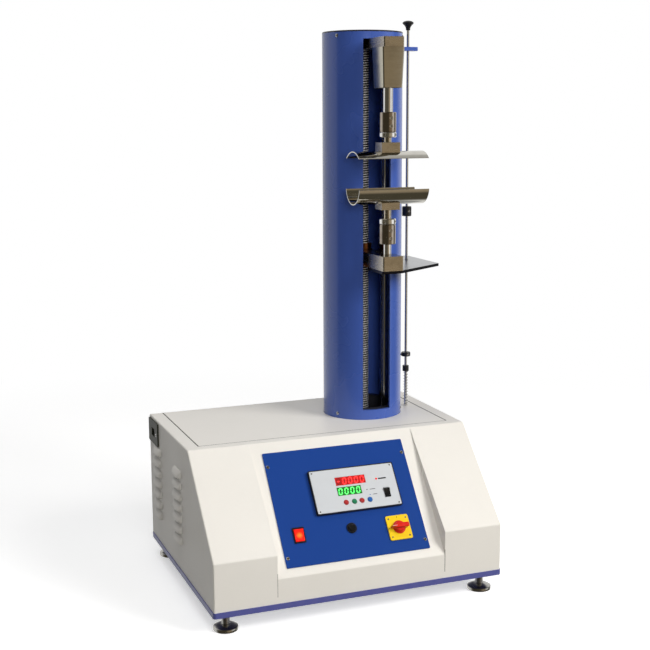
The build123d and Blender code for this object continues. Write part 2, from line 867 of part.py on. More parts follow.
def lock_ring(bottom, top):
    """A threaded ring that turns on the jaw's neck, with four spanner holes."""
    middle = (bottom + top) / 2
    low, high = bottom + face_clearance, top
    bore = neck_radius + ring_clearance
    turned(
        column_x,
        axis_y,
        (bore, low),
        (ring_radius - ring_edge, low),
        (ring_radius, low + ring_edge),
        (ring_radius, high - ring_edge),
        (ring_radius - ring_edge, high),
        (bore, high),
    )
    for k in range(spanner_holes):
        turn = radians((k + 0.5) * 360 / spanner_holes)
        out = (cos(turn), sin(turn), 0)
        spot = (column_x + ring_radius * out[0], axis_y + ring_radius * out[1], middle)
        with BuildSketch(Plane(origin=spot, x_dir=(-out[1], out[0], 0), z_dir=out)) as hole:
            Circle(spanner_hole_radius)
        extrude(hole.sketch, amount=-spanner_hole_depth, mode=Mode.SUBTRACT)


def saddle(radius, centre_z, edge, upper):
    """A curved sheet jaw: an arc of the given outer radius, cut off at the height of its edges."""
    with BuildSketch(Plane.YZ.offset(column_x - saddle_length / 2)) as section:
        with Locations((axis_y, centre_z)):
            Circle(radius)
            Circle(radius - saddle_sheet, mode=Mode.SUBTRACT)
        keep = Align.MIN if upper else Align.MAX
        with Locations((axis_y, edge)):
            Rectangle(3 * radius, 3 * radius, align=(Align.CENTER, keep), mode=Mode.INTERSECT)
    extrude(section.sketch, amount=saddle_length)


def jaw_stem(neck_end, boss_end, centre_z, radius, upper):
    """A neck with a boss whose end is hollowed to seat the saddle."""
    seat = centre_z + radius * (seat_share if upper else -seat_share)
    if upper:
        block(column_x, axis_y, seat, boss_width, boss_depth, boss_end - seat)
    else:
        block(column_x, axis_y, boss_end, boss_width, boss_depth, seat - boss_end)
    post(column_x, axis_y, min(neck_end, boss_end), neck_radius, abs(neck_end - boss_end))
    with BuildSketch(Plane.YZ.offset(column_x - boss_width)) as seat_section:
        with Locations((axis_y, centre_z)):
            Circle(radius + weld_gap)
    extrude(seat_section.sketch, amount=2 * boss_width, mode=Mode.SUBTRACT)


lower_centre = lower_saddle_bottom + lower_saddle_radius
upper_centre = upper_saddle_top - upper_saddle_radius
with BuildPart() as lower_coupling:
    coupling_sleeve(lower_coupling_bottom, lower_ring_bottom)
with BuildPart() as lower_lock_ring:
    lock_ring(lower_ring_bottom, lower_ring_bottom + lower_ring_height)
with BuildPart() as lower_jaw_stem:
    jaw_stem(lower_ring_bottom, lower_boss_bottom, lower_centre, lower_saddle_radius, upper=False)
with BuildPart() as lower_saddle:
    saddle(lower_saddle_radius, lower_centre, lower_saddle_bottom + lower_saddle_depth, upper=False)

# Upper jaw, the same pieces hanging from the load cell
with BuildPart() as upper_saddle:
    saddle(upper_saddle_radius, upper_centre, upper_saddle_top - upper_saddle_depth, upper=True)
with BuildPart() as upper_jaw_stem:
    jaw_stem(upper_ring_top, upper_boss_top, upper_centre, upper_saddle_radius, upper=True)
with BuildPart() as upper_lock_ring:
    lock_ring(upper_ring_top - upper_ring_height, upper_ring_top - face_clearance)
with BuildPart() as upper_coupling:
    coupling_sleeve(upper_ring_top, upper_coupling_top)
with BuildPart() as upper_spigot:
    post(column_x, axis_y, upper_coupling_top, upper_shank_radius, cell_bottom - upper_coupling_top)

# Fixed beam at the top of the slot
with BuildPart() as top_beam:
    yoke(
        beam_bottom,
        axis_y - beam_overhang,
        beam_width,
        beam_height,
        beam_height,
        guide_radius + running_clearance,
        screw_radius + beam_hole_margin,
    )
    chamfer(top_beam.edges().filter_by(Axis.Z).group_by(Axis.Y)[0], arm_chamfer)

# Load cell of the S type, and the tapered sheet cover round it
with BuildPart() as load_cell:
    block(column_x, axis_y, cell_bottom, cell_width, cell_depth, cell_height)
    for side, level in ((1, cell_cut_share), (-1, 1 - cell_cut_share)):
        cut_x = column_x + side * cell_web
        cut_z = cell_bottom + level * cell_height
        block(cut_x, axis_y, cut_z - cell_cut / 2, cell_width, cell_depth, cell_cut, Mode.SUBTRACT)
    with BuildSketch(Plane.XZ.offset(-axis_y - cell_depth / 2)):
        with Locations((column_x, cell_bottom + cell_height / 2)):
            Circle(cell_hole_radius)
    extrude(amount=cell_depth, mode=Mode.SUBTRACT)


def tapered_box(shrink, mode=Mode.ADD):
    """The cover's outside, or its inside when shrunk by the sheet."""
    with BuildSketch(Plane((column_x, axis_y, beam_bottom - cover_height))) as lower_end:
        Rectangle(cover_bottom_width - 2 * shrink, cover_bottom_depth - 2 * shrink)
    with BuildSketch(Plane((column_x, axis_y, beam_bottom))) as upper_end:
        Rectangle(cover_top_width - 2 * shrink, cover_top_depth - 2 * shrink)
    loft([lower_end.sketch, upper_end.sketch], mode=mode)


with BuildPart() as load_cell_cover:
    tapered_box(0)
    tapered_box(cover_sheet, Mode.SUBTRACT)

# Limit rod with its knob, the spring seat and the switch cam
knob_bottom = column_top + knob_rise
with BuildPart() as limit_rod:
    post(rod_x, rod_y, rod_bottom, rod_radius, knob_bottom - rod_bottom)
with BuildPart() as rod_knob:
    knob_top = knob_bottom + knob_height
    waist = knob_top - knob_dome
    dome_radius = (knob_radius**2 + knob_dome**2) / (2 * knob_dome)
    with BuildSketch(upright(rod_x, rod_y)):
        with BuildLine():
            Polyline((0, knob_top), (0, knob_bottom), (knob_neck, knob_bottom), (knob_radius, waist))
            RadiusArc((knob_radius, waist), (0, knob_top), -dome_radius)
        make_face()
    revolve(axis=Axis((rod_x, rod_y, 0), (0, 0, 1)))


def rod_collar(bottom, radius, height):
    """A collar on the limit rod."""
    bore = rod_radius + rod_clearance
    turned(
        rod_x,
        rod_y,
        (bore, bottom),
        (radius - collar_edge, bottom),
        (radius, bottom + collar_edge),
        (radius, bottom + height - collar_edge),
        (radius - collar_edge, bottom + height),
        (bore, bottom + height),
    )


def thumb_screw(height):
    """A thumb screw out of the collar's left side: a thin neck, then its head."""
    neck = thumb_length / 2
    for radius, start, end in ((thumb_radius / 2, -thumb_root, neck), (thumb_radius, neck, thumb_length)):
        face = Plane(origin=(rod_x - collar_radius - start, rod_y, height), x_dir=(0, 1, 0), z_dir=(-1, 0, 0))
        with BuildSketch(face) as section:
            Circle(radius)
        extrude(section.sketch, amount=end - start)


seat_bottom = cabinet_top + spring_height
lower_collar_bottom = seat_bottom + seat_height + lower_collar_gap
with BuildPart() as rod_collars:
    rod_collar(seat_bottom, seat_radius, seat_height)
    rod_collar(switch_cam_bottom, switch_cam_radius, switch_cam_height)
with BuildPart() as upper_collar:
    rod_collar(crosshead_bottom + upper_collar_gap, collar_radius, upper_collar_height)
with BuildPart() as lower_collar:
    rod_collar(lower_collar_bottom, collar_radius, lower_collar_height)
    thumb_screw(lower_collar_bottom + lower_collar_height / 2)

# Return spring between the top cover and its seat on the rod
spring_bottom = cabinet_top + spring_wire + running_clearance
spring_length = spring_height - 2 * spring_wire - 2 * running_clearance
with BuildPart() as limit_spring:
    with BuildLine() as coil:
        Helix(
            pitch=spring_length / spring_turns,
            height=spring_length,
            radius=spring_radius,
            center=(rod_x, rod_y, spring_bottom),
        )
    with BuildSketch(Plane(origin=coil.line @ 0, z_dir=coil.line % 0)):
        Circle(spring_wire)
    sweep()

# Limit switches above and below the cam, on the stand's bracket
with BuildPart() as limit_switches:
    upper_switch = switch_cam_bottom + switch_cam_height + rod_travel + switch_gap
    lower_switch = switch_cam_bottom - rod_travel - switch_gap - switch_height
    plunger_x, plunger_y = rod_x + plunger_offset_x, rod_y + switch_offset_y + plunger_offset_y
    for bottom, plunger in (
        (upper_switch, upper_switch - plunger_height),
        (lower_switch, lower_switch + switch_height),
    ):
        block(switch_x, switch_y, bottom, switch_length, switch_depth, switch_height)
        post(plunger_x, plunger_y, plunger, plunger_radius, plunger_height)

# Control panel with the openings for its devices
with BuildPart() as control_panel:
    with BuildSketch(panel_face):
        RectangleRounded(panel_width, panel_height, panel_corner)
        with Locations((meter_x, meter_y)):
            Rectangle(meter_width - 2 * cutout_overlap, meter_height - 2 * cutout_overlap, mode=Mode.SUBTRACT)
        with Locations((mains_x, mains_y)):
            Rectangle(mains_width - 2 * mains_overlap, mains_length - 2 * mains_overlap, mode=Mode.SUBTRACT)
        with Locations((button_x, button_y)):
            Circle(button_barrel, mode=Mode.SUBTRACT)
        with Locations((cam_x, cam_y)):
            Circle(cam_neck_radius, mode=Mode.SUBTRACT)
    extrude(amount=panel_thickness)
    screw_holes(panel_screws, panel_thickness)

# Meter: a housing through the panel, closed by the face that carries the displays, keys and small rocker
face_top = panel_thickness + meter_rim
face_bottom = face_top - face_thickness
body_width = meter_width - 2 * (cutout_overlap + panel_gap)
body_height = meter_height - 2 * (cutout_overlap + panel_gap)
with BuildPart() as meter_housing:
    with BuildSketch(on_panel(meter_x, meter_y, panel_thickness)):
        RectangleRounded(meter_width, meter_height, meter_corner)
    extrude(amount=meter_rim)
    with BuildSketch(on_panel(meter_x, meter_y, panel_thickness)):
        Rectangle(body_width, body_height)
    extrude(amount=-meter_depth)
    with BuildSketch(on_panel(meter_x, meter_y, panel_thickness - meter_depth + meter_wall)):
        Rectangle(body_width - 2 * meter_wall, body_height - 2 * meter_wall)
    extrude(amount=meter_depth + meter_rim, mode=Mode.SUBTRACT)
    with BuildSketch(on_panel(meter_x, meter_y, face_bottom)):
        RectangleRounded(meter_width - 2 * meter_border, meter_height - 2 * meter_border, face_corner)
    extrude(amount=face_thickness, mode=Mode.SUBTRACT)
displays = (
    (upper_display_x, upper_display_y, upper_display_width),
    (lower_display_x, lower_display_y, lower_display_width),
)
with BuildPart() as meter_face:
    with BuildSketch(on_panel(meter_x, meter_y, face_bottom)):
        border = 2 * (meter_border + key_clearance)
        RectangleRounded(meter_width - border, meter_height - border, face_corner)
        for x, y, width in displays:
            with Locations((x, y)):
                Rectangle(width + 2 * key_clearance, display_height + 2 * key_clearance, mode=Mode.SUBTRACT)
        for x in key_columns:
            with Locations((x, key_row)):
                Circle(key_radius + key_clearance, mode=Mode.SUBTRACT)
        with Locations((meter_rocker_x, meter_rocker_y)):
            hole_width = meter_rocker_width + 2 * rocker_clearance
            Rectangle(hole_width, meter_rocker_length + 2 * rocker_clearance, mode=Mode.SUBTRACT)
    extrude(amount=face_thickness)
with BuildPart() as display_modules:
    for x, y, width in displays:
        with BuildSketch(on_panel(meter_x + x, meter_y + y, face_top - display_setback)):
            Rectangle(width, display_height)
        extrude(amount=-display_depth)
keys = []
for x in key_columns:
    with BuildPart() as key:
        with BuildSketch(on_panel(meter_x + x, meter_y + key_row, face_top + key_proud)):
            Circle(key_radius)
        extrude(amount=-key_depth)
        chamfer(key.edges().group_by(Axis(panel_origin, fascia.z_dir))[-1], key_edge)
    keys.append(key)
key_red_left, key_green, key_red_right, key_blue = keys


# Rockers: a drum about the pivot with a shallow V on top, standing tilted to one side
def rocker(x, y, surface, width, length):
    """A rocker paddle of the given width and length, on a surface at the given height."""
    pivot = on_panel(x, y, surface - rocker_pivot_depth)
    half = length / 2
    middle_height = rocker_pivot_depth + rocker_rise
    end_height = middle_height + rocker_valley
    tilt = radians(rocker_tilt)
    along = pivot.y_dir * cos(tilt) + pivot.z_dir * sin(tilt)
    side_view = Plane(origin=pivot.from_local_coords((-width / 2, 0, 0)), x_dir=along, z_dir=(1, 0, 0))
    with BuildSketch(side_view) as section:
        with BuildLine():
            Polyline(
                (-half, end_height),
                (0, middle_height),
                (half, end_height),
                (half, -rocker_pivot_depth),
                (-half, -rocker_pivot_depth),
                close=True,
            )
        make_face()
        Circle(half, mode=Mode.INTERSECT)
    extrude(section.sketch, amount=width)


with BuildPart() as meter_rocker:
    small_x, small_y = meter_x + meter_rocker_x, meter_y + meter_rocker_y
    rocker(small_x, small_y, face_top, meter_rocker_width, meter_rocker_length)
with BuildPart() as mains_rocker_housing:
    with BuildSketch(on_panel(mains_x, mains_y, panel_thickness)):
        RectangleRounded(mains_width, mains_length, mains_corner)
    extrude(amount=mains_rim)
    with BuildSketch(on_panel(mains_x, mains_y, panel_thickness)):
        body_fit = 2 * (mains_overlap + mains_fit)
        Rectangle(mains_width - body_fit, mains_length - body_fit)
    extrude(amount=-mains_body_depth)
    with BuildSketch(on_panel(mains_x, mains_y, panel_thickness + mains_rim)):
        Rectangle(mains_rocker_width + 2 * rocker_clearance, mains_rocker_length + 2 * rocker_clearance)
    extrude(amount=mains_floor - mains_body_depth, mode=Mode.SUBTRACT)
with BuildPart() as mains_rocker:
    rocker(mains_x, mains_y, panel_thickness + mains_rim, mains_rocker_width, mains_rocker_length)

# Push button in its bush
with BuildPart() as push_button_bush:
    with BuildSketch(on_panel(button_x, button_y, panel_thickness)):
        Circle(button_ring_radius)
    extrude(amount=button_ring_height)
    chamfer(push_button_bush.edges().group_by(Axis(panel_origin, fascia.z_dir))[-1], button_edge)
    with BuildSketch(on_panel(button_x, button_y, panel_thickness)):
        Circle(button_barrel - barrel_fit)
    extrude(amount=-button_barrel_depth)
    with BuildSketch(on_panel(button_x, button_y, panel_thickness + button_ring_height)):
        Circle(button_bore)
    extrude(amount=-button_barrel_depth, mode=Mode.SUBTRACT)
with BuildPart() as push_button:
    with BuildSketch(on_panel(button_x, button_y, panel_thickness + button_ring_height + button_proud)):
        Circle(button_bore - button_clearance)
    extrude(amount=-button_proud - button_stem)
    chamfer(push_button.edges().group_by(Axis(panel_origin, fascia.z_dir))[-1], button_edge)

# Cam switch: body behind the panel, yellow plate on it and the turning handle
with BuildPart() as cam_switch_body:
    with BuildSketch(on_panel(cam_x, cam_y)):
        RectangleRounded(cam_body_width, cam_body_width, cam_body_corner)
    extrude(amount=-cam_body_depth)
    with BuildSketch(on_panel(cam_x, cam_y)):
        Circle(cam_neck_radius - panel_gap)
    extrude(amount=panel_thickness)
    with BuildSketch(on_panel(cam_x, cam_y, panel_thickness)):
        Circle(cam_shaft_radius + running_clearance)
    extrude(amount=-panel_thickness - cam_shaft_depth, mode=Mode.SUBTRACT)
with BuildPart() as cam_plate:
    with BuildSketch(on_panel(cam_x, cam_y, panel_thickness)):
        RectangleRounded(cam_plate_width, cam_plate_length, cam_plate_corner)
        Circle(cam_shaft_radius + running_clearance, mode=Mode.SUBTRACT)
    extrude(amount=cam_plate_thickness)
with BuildPart() as cam_knob:
    knob_base = panel_thickness + cam_plate_thickness + cam_clearance
    with BuildSketch(on_panel(cam_x, cam_y, knob_base)):
        Circle(cam_knob_radius)
    extrude(amount=cam_knob_height, taper=cam_knob_taper)
    with BuildSketch(on_panel(cam_x, cam_y, knob_base + cam_knob_height - cam_handle_sink)):
        SlotOverall(cam_handle_length, cam_handle_width)
    extrude(amount=cam_handle_height, taper=cam_handle_taper)
    with BuildSketch(on_panel(cam_x, cam_y, knob_base)):
        Circle(cam_shaft_radius)
    extrude(amount=panel_gap - knob_base - cam_shaft_depth)

# Connector plate on the left wall, with the mains inlet moulded in it
wall_plane = Plane(origin=(-side_x, connector_y, connector_z), x_dir=(0, -1, 0), z_dir=(-1, 0, 0))
with BuildPart() as connector_plate:
    with BuildSketch(wall_plane):
        RectangleRounded(connector_width, connector_height, connector_corner)
    extrude(amount=connector_thickness)
    with BuildSketch(wall_plane):
        Rectangle(inlet_width + 2 * inlet_wall, inlet_height + 2 * inlet_wall)
    extrude(amount=-inlet_depth)
    with BuildSketch(wall_plane.offset(connector_thickness)):
        RectangleRounded(inlet_width, inlet_height, inlet_corner)
    extrude(amount=-inlet_depth, mode=Mode.SUBTRACT)
    with BuildSketch(wall_plane.offset(connector_thickness - inlet_depth)):
        pin_x = inlet_pin_spacing / 2
        with Locations((-pin_x, inlet_pin_level), (pin_x, inlet_pin_level), (0, inlet_earth_level)):
            Rectangle(inlet_pin_width, inlet_pin_height)
    extrude(amount=inlet_pin_length)
    screw_holes(connector_screws, connector_thickness)

# Power supply on the base plate
with BuildPart() as power_supply:
    block(supply_side - side_x, ridge_y + supply_setback, base_top, supply_width, supply_depth, supply_height)
    chamfer(power_supply.edges().group_by(Axis.Z)[-1], supply_edge)

# Pan-head screws of the panel, the column, the rear panel and the connector plate
with BuildPart() as pan_head_screws:
    for planes, length in (
        (panel_screws, panel_thickness + 3 * sheet),
        (column_screws, column_screw_length),
        (rear_screws, 4 * sheet),
        (connector_screws, connector_thickness + 2 * sheet),
    ):
        for plane in planes:
            with BuildSketch(plane):
                Circle(screw_head_radius)
            extrude(amount=screw_head_height, taper=screw_head_taper)
            with BuildSketch(plane):
                Circle(screw_shank_radius)
            extrude(amount=-length)

nodes = {
    "base_plate": base_plate,
    "foot_front_left": foot_front_left,
    "foot_front_right": foot_front_right,
    "foot_back_left": foot_back_left,
    "foot_back_right": foot_back_right,
    "cabinet_shell": cabinet_shell,
    "top_cover": top_cover,
    "rear_panel": rear_panel,
    "column_stand": column_stand,
    "column_tube": column_tube,
    "column_cap": column_cap,
    "guide_rods": guide_rods,
    "lead_screw": lead_screw,
    "screw_bearings": screw_bearings,
    "screw_pulley": screw_pulley,
    "motor_pulley": motor_pulley,
    "drive_belt": drive_belt,
    "gearmotor": gearmotor,
    "crosshead": crosshead,
    "nut_and_bushes": nut_and_bushes,
    "trip_plate": trip_plate,
    "lower_spigot": lower_spigot,
    "lower_coupling": lower_coupling,
    "lower_lock_ring": lower_lock_ring,
    "lower_jaw_stem": lower_jaw_stem,
    "lower_saddle": lower_saddle,
    "upper_saddle": upper_saddle,
    "upper_jaw_stem": upper_jaw_stem,
    "upper_lock_ring": upper_lock_ring,
    "upper_coupling": upper_coupling,
    "upper_spigot": upper_spigot,
    "top_beam": top_beam,
    "load_cell": load_cell,
    "load_cell_cover": load_cell_cover,
    "limit_rod": limit_rod,
    "rod_knob": rod_knob,
    "rod_collars": rod_collars,
    "upper_collar": upper_collar,
    "lower_collar": lower_collar,
    "limit_spring": limit_spring,
    "limit_switches": limit_switches,
    "control_panel": control_panel,
    "meter_housing": meter_housing,
    "meter_face": meter_face,
    "display_modules": display_modules,
    "key_red_left": key_red_left,
    "key_green": key_green,
    "key_red_right": key_red_right,
    "key_blue": key_blue,
    "meter_rocker": meter_rocker,
    "mains_rocker_housing": mains_rocker_housing,
    "mains_rocker": mains_rocker,
    "push_button_bush": push_button_bush,
    "push_button": push_button,
    "cam_switch_body": cam_switch_body,
    "cam_plate": cam_plate,
    "cam_knob": cam_knob,
    "connector_plate": connector_plate,
    "power_supply": power_supply,
    "pan_head_screws": pan_head_screws,
}
os.makedirs("parts", exist_ok=True)
for name, node in nodes.items():
    node.part.label = name
    export_step(node.part, f"parts/{name}.step")
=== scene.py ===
import json
from math import cos, pi, radians, sin

import bpy
import numpy as np
from bpy.props import FloatProperty, FloatVectorProperty, IntProperty, PointerProperty, StringProperty
from mathutils import Matrix, Vector


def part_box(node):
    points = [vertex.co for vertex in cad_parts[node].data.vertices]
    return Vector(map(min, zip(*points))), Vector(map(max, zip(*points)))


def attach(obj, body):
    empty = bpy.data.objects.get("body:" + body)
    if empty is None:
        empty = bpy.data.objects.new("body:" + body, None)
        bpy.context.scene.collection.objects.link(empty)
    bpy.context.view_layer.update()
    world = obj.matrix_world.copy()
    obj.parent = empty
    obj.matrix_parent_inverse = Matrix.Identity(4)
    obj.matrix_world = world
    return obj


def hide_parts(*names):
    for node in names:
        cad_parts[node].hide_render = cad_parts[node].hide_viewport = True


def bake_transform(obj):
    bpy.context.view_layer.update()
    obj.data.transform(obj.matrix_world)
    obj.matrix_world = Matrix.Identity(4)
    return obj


bl_info = {
    "name": "Core crush tester dress",
    "version": (1, 0, 0),
    "blender": (4, 5, 0),
    "location": "View3D > Sidebar > Crush tester",
    "description": "Finishes, threads, displays and fasteners of a core crush tester, with its studio",
    "category": "Object",
}

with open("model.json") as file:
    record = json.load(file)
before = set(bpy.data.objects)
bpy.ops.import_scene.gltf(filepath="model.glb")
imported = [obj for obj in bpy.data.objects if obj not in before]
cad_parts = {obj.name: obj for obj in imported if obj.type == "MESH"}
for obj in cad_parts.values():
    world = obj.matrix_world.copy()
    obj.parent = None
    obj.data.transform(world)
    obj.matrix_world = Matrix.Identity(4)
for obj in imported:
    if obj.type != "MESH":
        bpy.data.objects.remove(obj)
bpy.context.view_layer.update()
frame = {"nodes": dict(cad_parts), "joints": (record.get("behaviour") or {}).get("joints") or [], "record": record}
nodes = frame["nodes"]
node_slots = {entry["node"]: entry["material_slot"] for entry in frame["record"]["subparts"]}
joints = {joint["name"]: joint for joint in frame["joints"]}
MM = 0.001


def middle(node):
    """The middle of a CAD node's box at rest."""
    low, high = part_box(node)
    return (low + high) / 2


def plan_middle(low, high, z=0.0):
    """The point at height z on the upright line through the middle of a box."""
    return (low.x + high.x) / 2, (low.y + high.y) / 2, z


def node_points(node):
    """The points of a CAD node, one row each."""
    vertices = nodes[node].data.vertices
    flat = np.empty(3 * len(vertices), np.float32)
    vertices.foreach_get("co", flat)
    return flat.reshape(-1, 3).astype(float)


class PanelFrame:
    """The sloped control panel as a frame: across is +X, up runs up the slope, out leaves the face."""

    def __init__(self):
        thickness = 2 * MM
        across = np.array([1.0, 0.0, 0.0])
        self.out = np.array(joints["cam_turn"]["axis"], float)
        self.axes = np.array([across, np.cross(self.out, across), self.out])
        low, high = (np.array(corner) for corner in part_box("control_panel"))
        self.origin = (low + high) / 2 + self.out * thickness / 2

    def place(self, points):
        """Turns (across, up, out) coordinates from the middle of the panel's face into the model's frame."""
        return self.origin + np.asarray(points, float) @ self.axes

    def put(self, patch, x, y, height):
        """Moves a patch that was made flat about the origin to a place on the panel."""
        points, faces = patch
        return self.place(points + (x, y, height)), faces

    def reach(self, node):
        """Lowest and highest panel coordinates of a CAD node's points."""
        local = (node_points(node) - self.origin) @ self.axes.T
        return local.min(0), local.max(0)


panel = PanelFrame()


# Surfaces worked out as whole arrays
def grid_faces(rows, columns, close_columns=False):
    """Quads of a grid of points stored row by row; closed columns join the end of each row to its start."""
    i = np.arange(rows - 1)
    j = np.arange(columns if close_columns else columns - 1)
    i, j = (a.ravel() for a in np.meshgrid(i, j, indexing="ij"))
    near, far = i * columns, (i + 1) * columns
    following = (j + 1) % columns
    return np.stack([near + j, near + following, far + following, far + j], 1)


def circle(segments):
    """Even angles of one full turn."""
    return np.linspace(0, 2 * pi, segments, endpoint=False)


def around(radius, angle, height):
    """Points (radius cos angle, radius sin angle, height), stored row by row."""
    points = np.stack([radius * np.cos(angle), radius * np.sin(angle), height + 0 * angle], 2)
    return points.reshape(-1, 3)


def mm(*pairs):
    """A profile given in millimetres."""
    return np.array(pairs) * MM


def turned(profile, segments, centre, turn=None):
    """A profile of (radius, height) points turned about the upright axis through centre.

    Point = (radius cos t, radius sin t, height), with t over a full turn. A 3 by 3 turn may tilt the axis.
    """
    profile = np.asarray(profile, float)
    points = around(profile[:, :1], circle(segments), profile[:, 1:])
    if turn is not None:
        points = points @ turn.T
    return points + centre, grid_faces(len(profile), segments, close_columns=True)


def threaded(radius, depth, pitch, bottom, top, centre, segments, steps, run_out):
    """A right-hand trapezoidal thread between two heights, with the given steps to a pitch.

    Radius = crest minus depth times a trapezoid wave of (height / pitch - angle / full turn), which fades
    over run_out at both ends.
    """
    crest_share, flank_share = 0.35, 0.3
    rows = int(round((top - bottom) / pitch * steps)) + 1
    t = circle(segments)
    z = np.linspace(bottom, top, rows)[:, None]
    phase = (z - bottom) / pitch - t / (2 * pi)
    wave = np.abs((phase % 1.0) - 0.5) * 2
    fade = np.clip(np.minimum(z - bottom, top - z) / run_out, 0, 1)
    root = np.clip((wave - crest_share) / flank_share, 0, 1) * fade
    points = around(radius - depth * root, t, z)
    return points + centre, grid_faces(rows, segments, close_columns=True)


def rounded_outline(width, height, corner, steps=5):
    """Corner arcs of a rounded rectangle, anticlockwise: corner centre plus corner radius times (cos, sin)."""
    parts = []
    for k, (sx, sy) in enumerate(((1, 1), (-1, 1), (-1, -1), (1, -1))):
        a = np.linspace(k * pi / 2, (k + 1) * pi / 2, steps)
        cx, cy = sx * (width / 2 - corner), sy * (height / 2 - corner)
        parts.append(np.stack([cx + corner * np.cos(a), cy + corner * np.sin(a)], 1))
    return np.concatenate(parts)


def slab(outline, low, high, edge=0.0):
    """A closed plate from an outline that is star-shaped about its middle, with a chamfered upper edge.

    Rings: middle point below, outline below, outline at the chamfer, shrunk outline above, middle point above.
    """
    outline = np.asarray(outline, float)
    centre = (outline.max(0) + outline.min(0)) / 2
    span = (outline.max(0) - outline.min(0)) / 2
    shrunk = centre + (outline - centre) * (1 - edge / span)
    rings = [(centre + (outline - centre) * 1e-4, low), (outline, low), (outline, high - edge)]
    if edge:
        rings.append((shrunk, high))
    rings.append((centre + (shrunk - centre) * 1e-4, high))
    points = np.concatenate([np.column_stack([ring, np.full(len(ring), h)]) for ring, h in rings])
    return points, grid_faces(len(rings), len(outline), close_columns=True)


def strip(left, right, front, back, low, high):
    """A plain rectangular plate between six planes."""
    return slab([(left, front), (right, front), (right, back), (left, back)], low, high)


def joined(patches):
    """One set of points and quads from several."""
    points, faces, count = [], [], 0
    for p, f in patches:
        points.append(p)
        faces.append(f + count)
        count += len(p)
    return np.concatenate(points), np.concatenate(faces)


def turn_to(out):
    """A 3 by 3 turn whose third column is out, so that a turned profile's axis points that way."""
    out = Vector(out).normalized()
    side = Vector((0, 0, 1)).cross(out)
    side = side.normalized() if side.length > 1e-6 else Vector((1, 0, 0))
    return np.array(Matrix((side, out.cross(side), out)).transposed())


finishes = {}


def make_piece(name, patches, body, slot, replaces=(), material=None, sharp=35):
    """Makes one object of the patches, smooth but for sharp edges, and rides it on its body, if any.

    It takes its slot's finish, unless it is given a material of its own.
    """
    points, faces = joined(patches)
    mesh = bpy.data.meshes.new(name)
    mesh.from_pydata(points.tolist(), [], faces.tolist())
    mesh.validate()
    mesh.update()
    mesh.shade_smooth()
    mesh.set_sharp_from_angle(angle=radians(sharp))
    piece = bpy.data.objects.new(name, mesh)
    bpy.context.scene.collection.objects.link(piece)
    piece.data.materials.append(material or finishes[slot])
    if body:
        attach(piece, body)
    if replaces:
        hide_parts(*replaces)
    return piece


# Shader nodes
def feed(tree, socket, value):
    """Links an input to a socket, or sets it to a number, a vector or a colour."""
    if isinstance(value, bpy.types.NodeSocket):
        tree.links.new(value, socket)
    elif socket.type == "RGBA":
        socket.default_value = (*value[:3], 1)
    else:
        socket.default_value = value


def feed_all(tree, node, **values):
    """Feeds a node's inputs by name, where an underscore stands for a space; gives the node."""
    for label, value in values.items():
        feed(tree, node.inputs[label.replace("_", " ")], value)
    return node


def math_node(tree, operation, a, b=None, clamp=False):
    """A Math node whose inputs are sockets or numbers; gives its output."""
    node = tree.nodes.new("ShaderNodeMath")
    node.operation = operation
    node.use_clamp = clamp
    feed(tree, node.inputs[0], a)
    if b is not None:
        feed(tree, node.inputs[1], b)
    return node.outputs[0]


def product(tree, a, b, clamp=False):
    """a times b, held between 0 and 1 if clamped."""
    return math_node(tree, "MULTIPLY", a, b, clamp)


def total(tree, a, b, clamp=False):
    """a plus b, held between 0 and 1 if clamped."""
    return math_node(tree, "ADD", a, b, clamp)


def larger(tree, a, b):
    """The larger of a and b."""
    return math_node(tree, "MAXIMUM", a, b)


def vector_node(tree, operation, a, b=None):
    """A Vector Math node that gives one number, such as a length or a dot product."""
    node = tree.nodes.new("ShaderNodeVectorMath")
    node.operation = operation
    feed(tree, node.inputs[0], a)
    if b is not None:
        feed(tree, node.inputs[1], b)
    return node.outputs["Value"]


def scaled(tree, colour, scale):
    """A colour times a number."""
    node = tree.nodes.new("ShaderNodeVectorMath")
    node.operation = "SCALE"
    feed(tree, node.inputs[0], colour)
    feed(tree, node.inputs["Scale"], scale)
    return node.outputs[0]


def mix_colour(tree, factor, a, b):
    """A Mix node for colours; factor, a and b are sockets or values."""
    node = tree.nodes.new("ShaderNodeMix")
    node.data_type = "RGBA"
    for k, value in ((0, factor), (6, a), (7, b)):
        feed(tree, node.inputs[k], value)
    return node.outputs[2]


def smooth_step(tree, value, start, end):
    """0 at start, 1 at end and a smooth ramp between them."""
    ramp = tree.nodes.new("ShaderNodeMapRange")
    ramp.interpolation_type = "SMOOTHSTEP"
    return feed_all(tree, ramp, Value=value, From_Min=start, From_Max=end).outputs[0]


def noise(tree, vector, scale, detail=2.0, roughness=0.5):
    """A noise texture on the given coordinates; gives its value."""
    node = tree.nodes.new("ShaderNodeTexNoise")
    return feed_all(tree, node, Vector=vector, Scale=scale, Detail=detail, Roughness=roughness).outputs[0]


def object_coordinates(tree, stretch=(1, 1, 1), place=(0, 0, 0)):
    """Object coordinates, in metres, stretched and moved by a Mapping node."""
    coordinates = tree.nodes.new("ShaderNodeTexCoord").outputs["Object"]
    mapping = tree.nodes.new("ShaderNodeMapping")
    return feed_all(tree, mapping, Vector=coordinates, Scale=stretch, Location=place).outputs[0]


def bump(tree, height, strength, depth, normal=None):
    """Turns a height into a normal by a Bump node, on top of a given normal if any."""
    node = tree.nodes.new("ShaderNodeBump")
    feed_all(tree, node, Height=height, Strength=strength, Distance=depth)
    if normal is not None:
        feed(tree, node.inputs["Normal"], normal)
    return node.outputs[0]


# Shader groups shared by several finishes
groups = {}


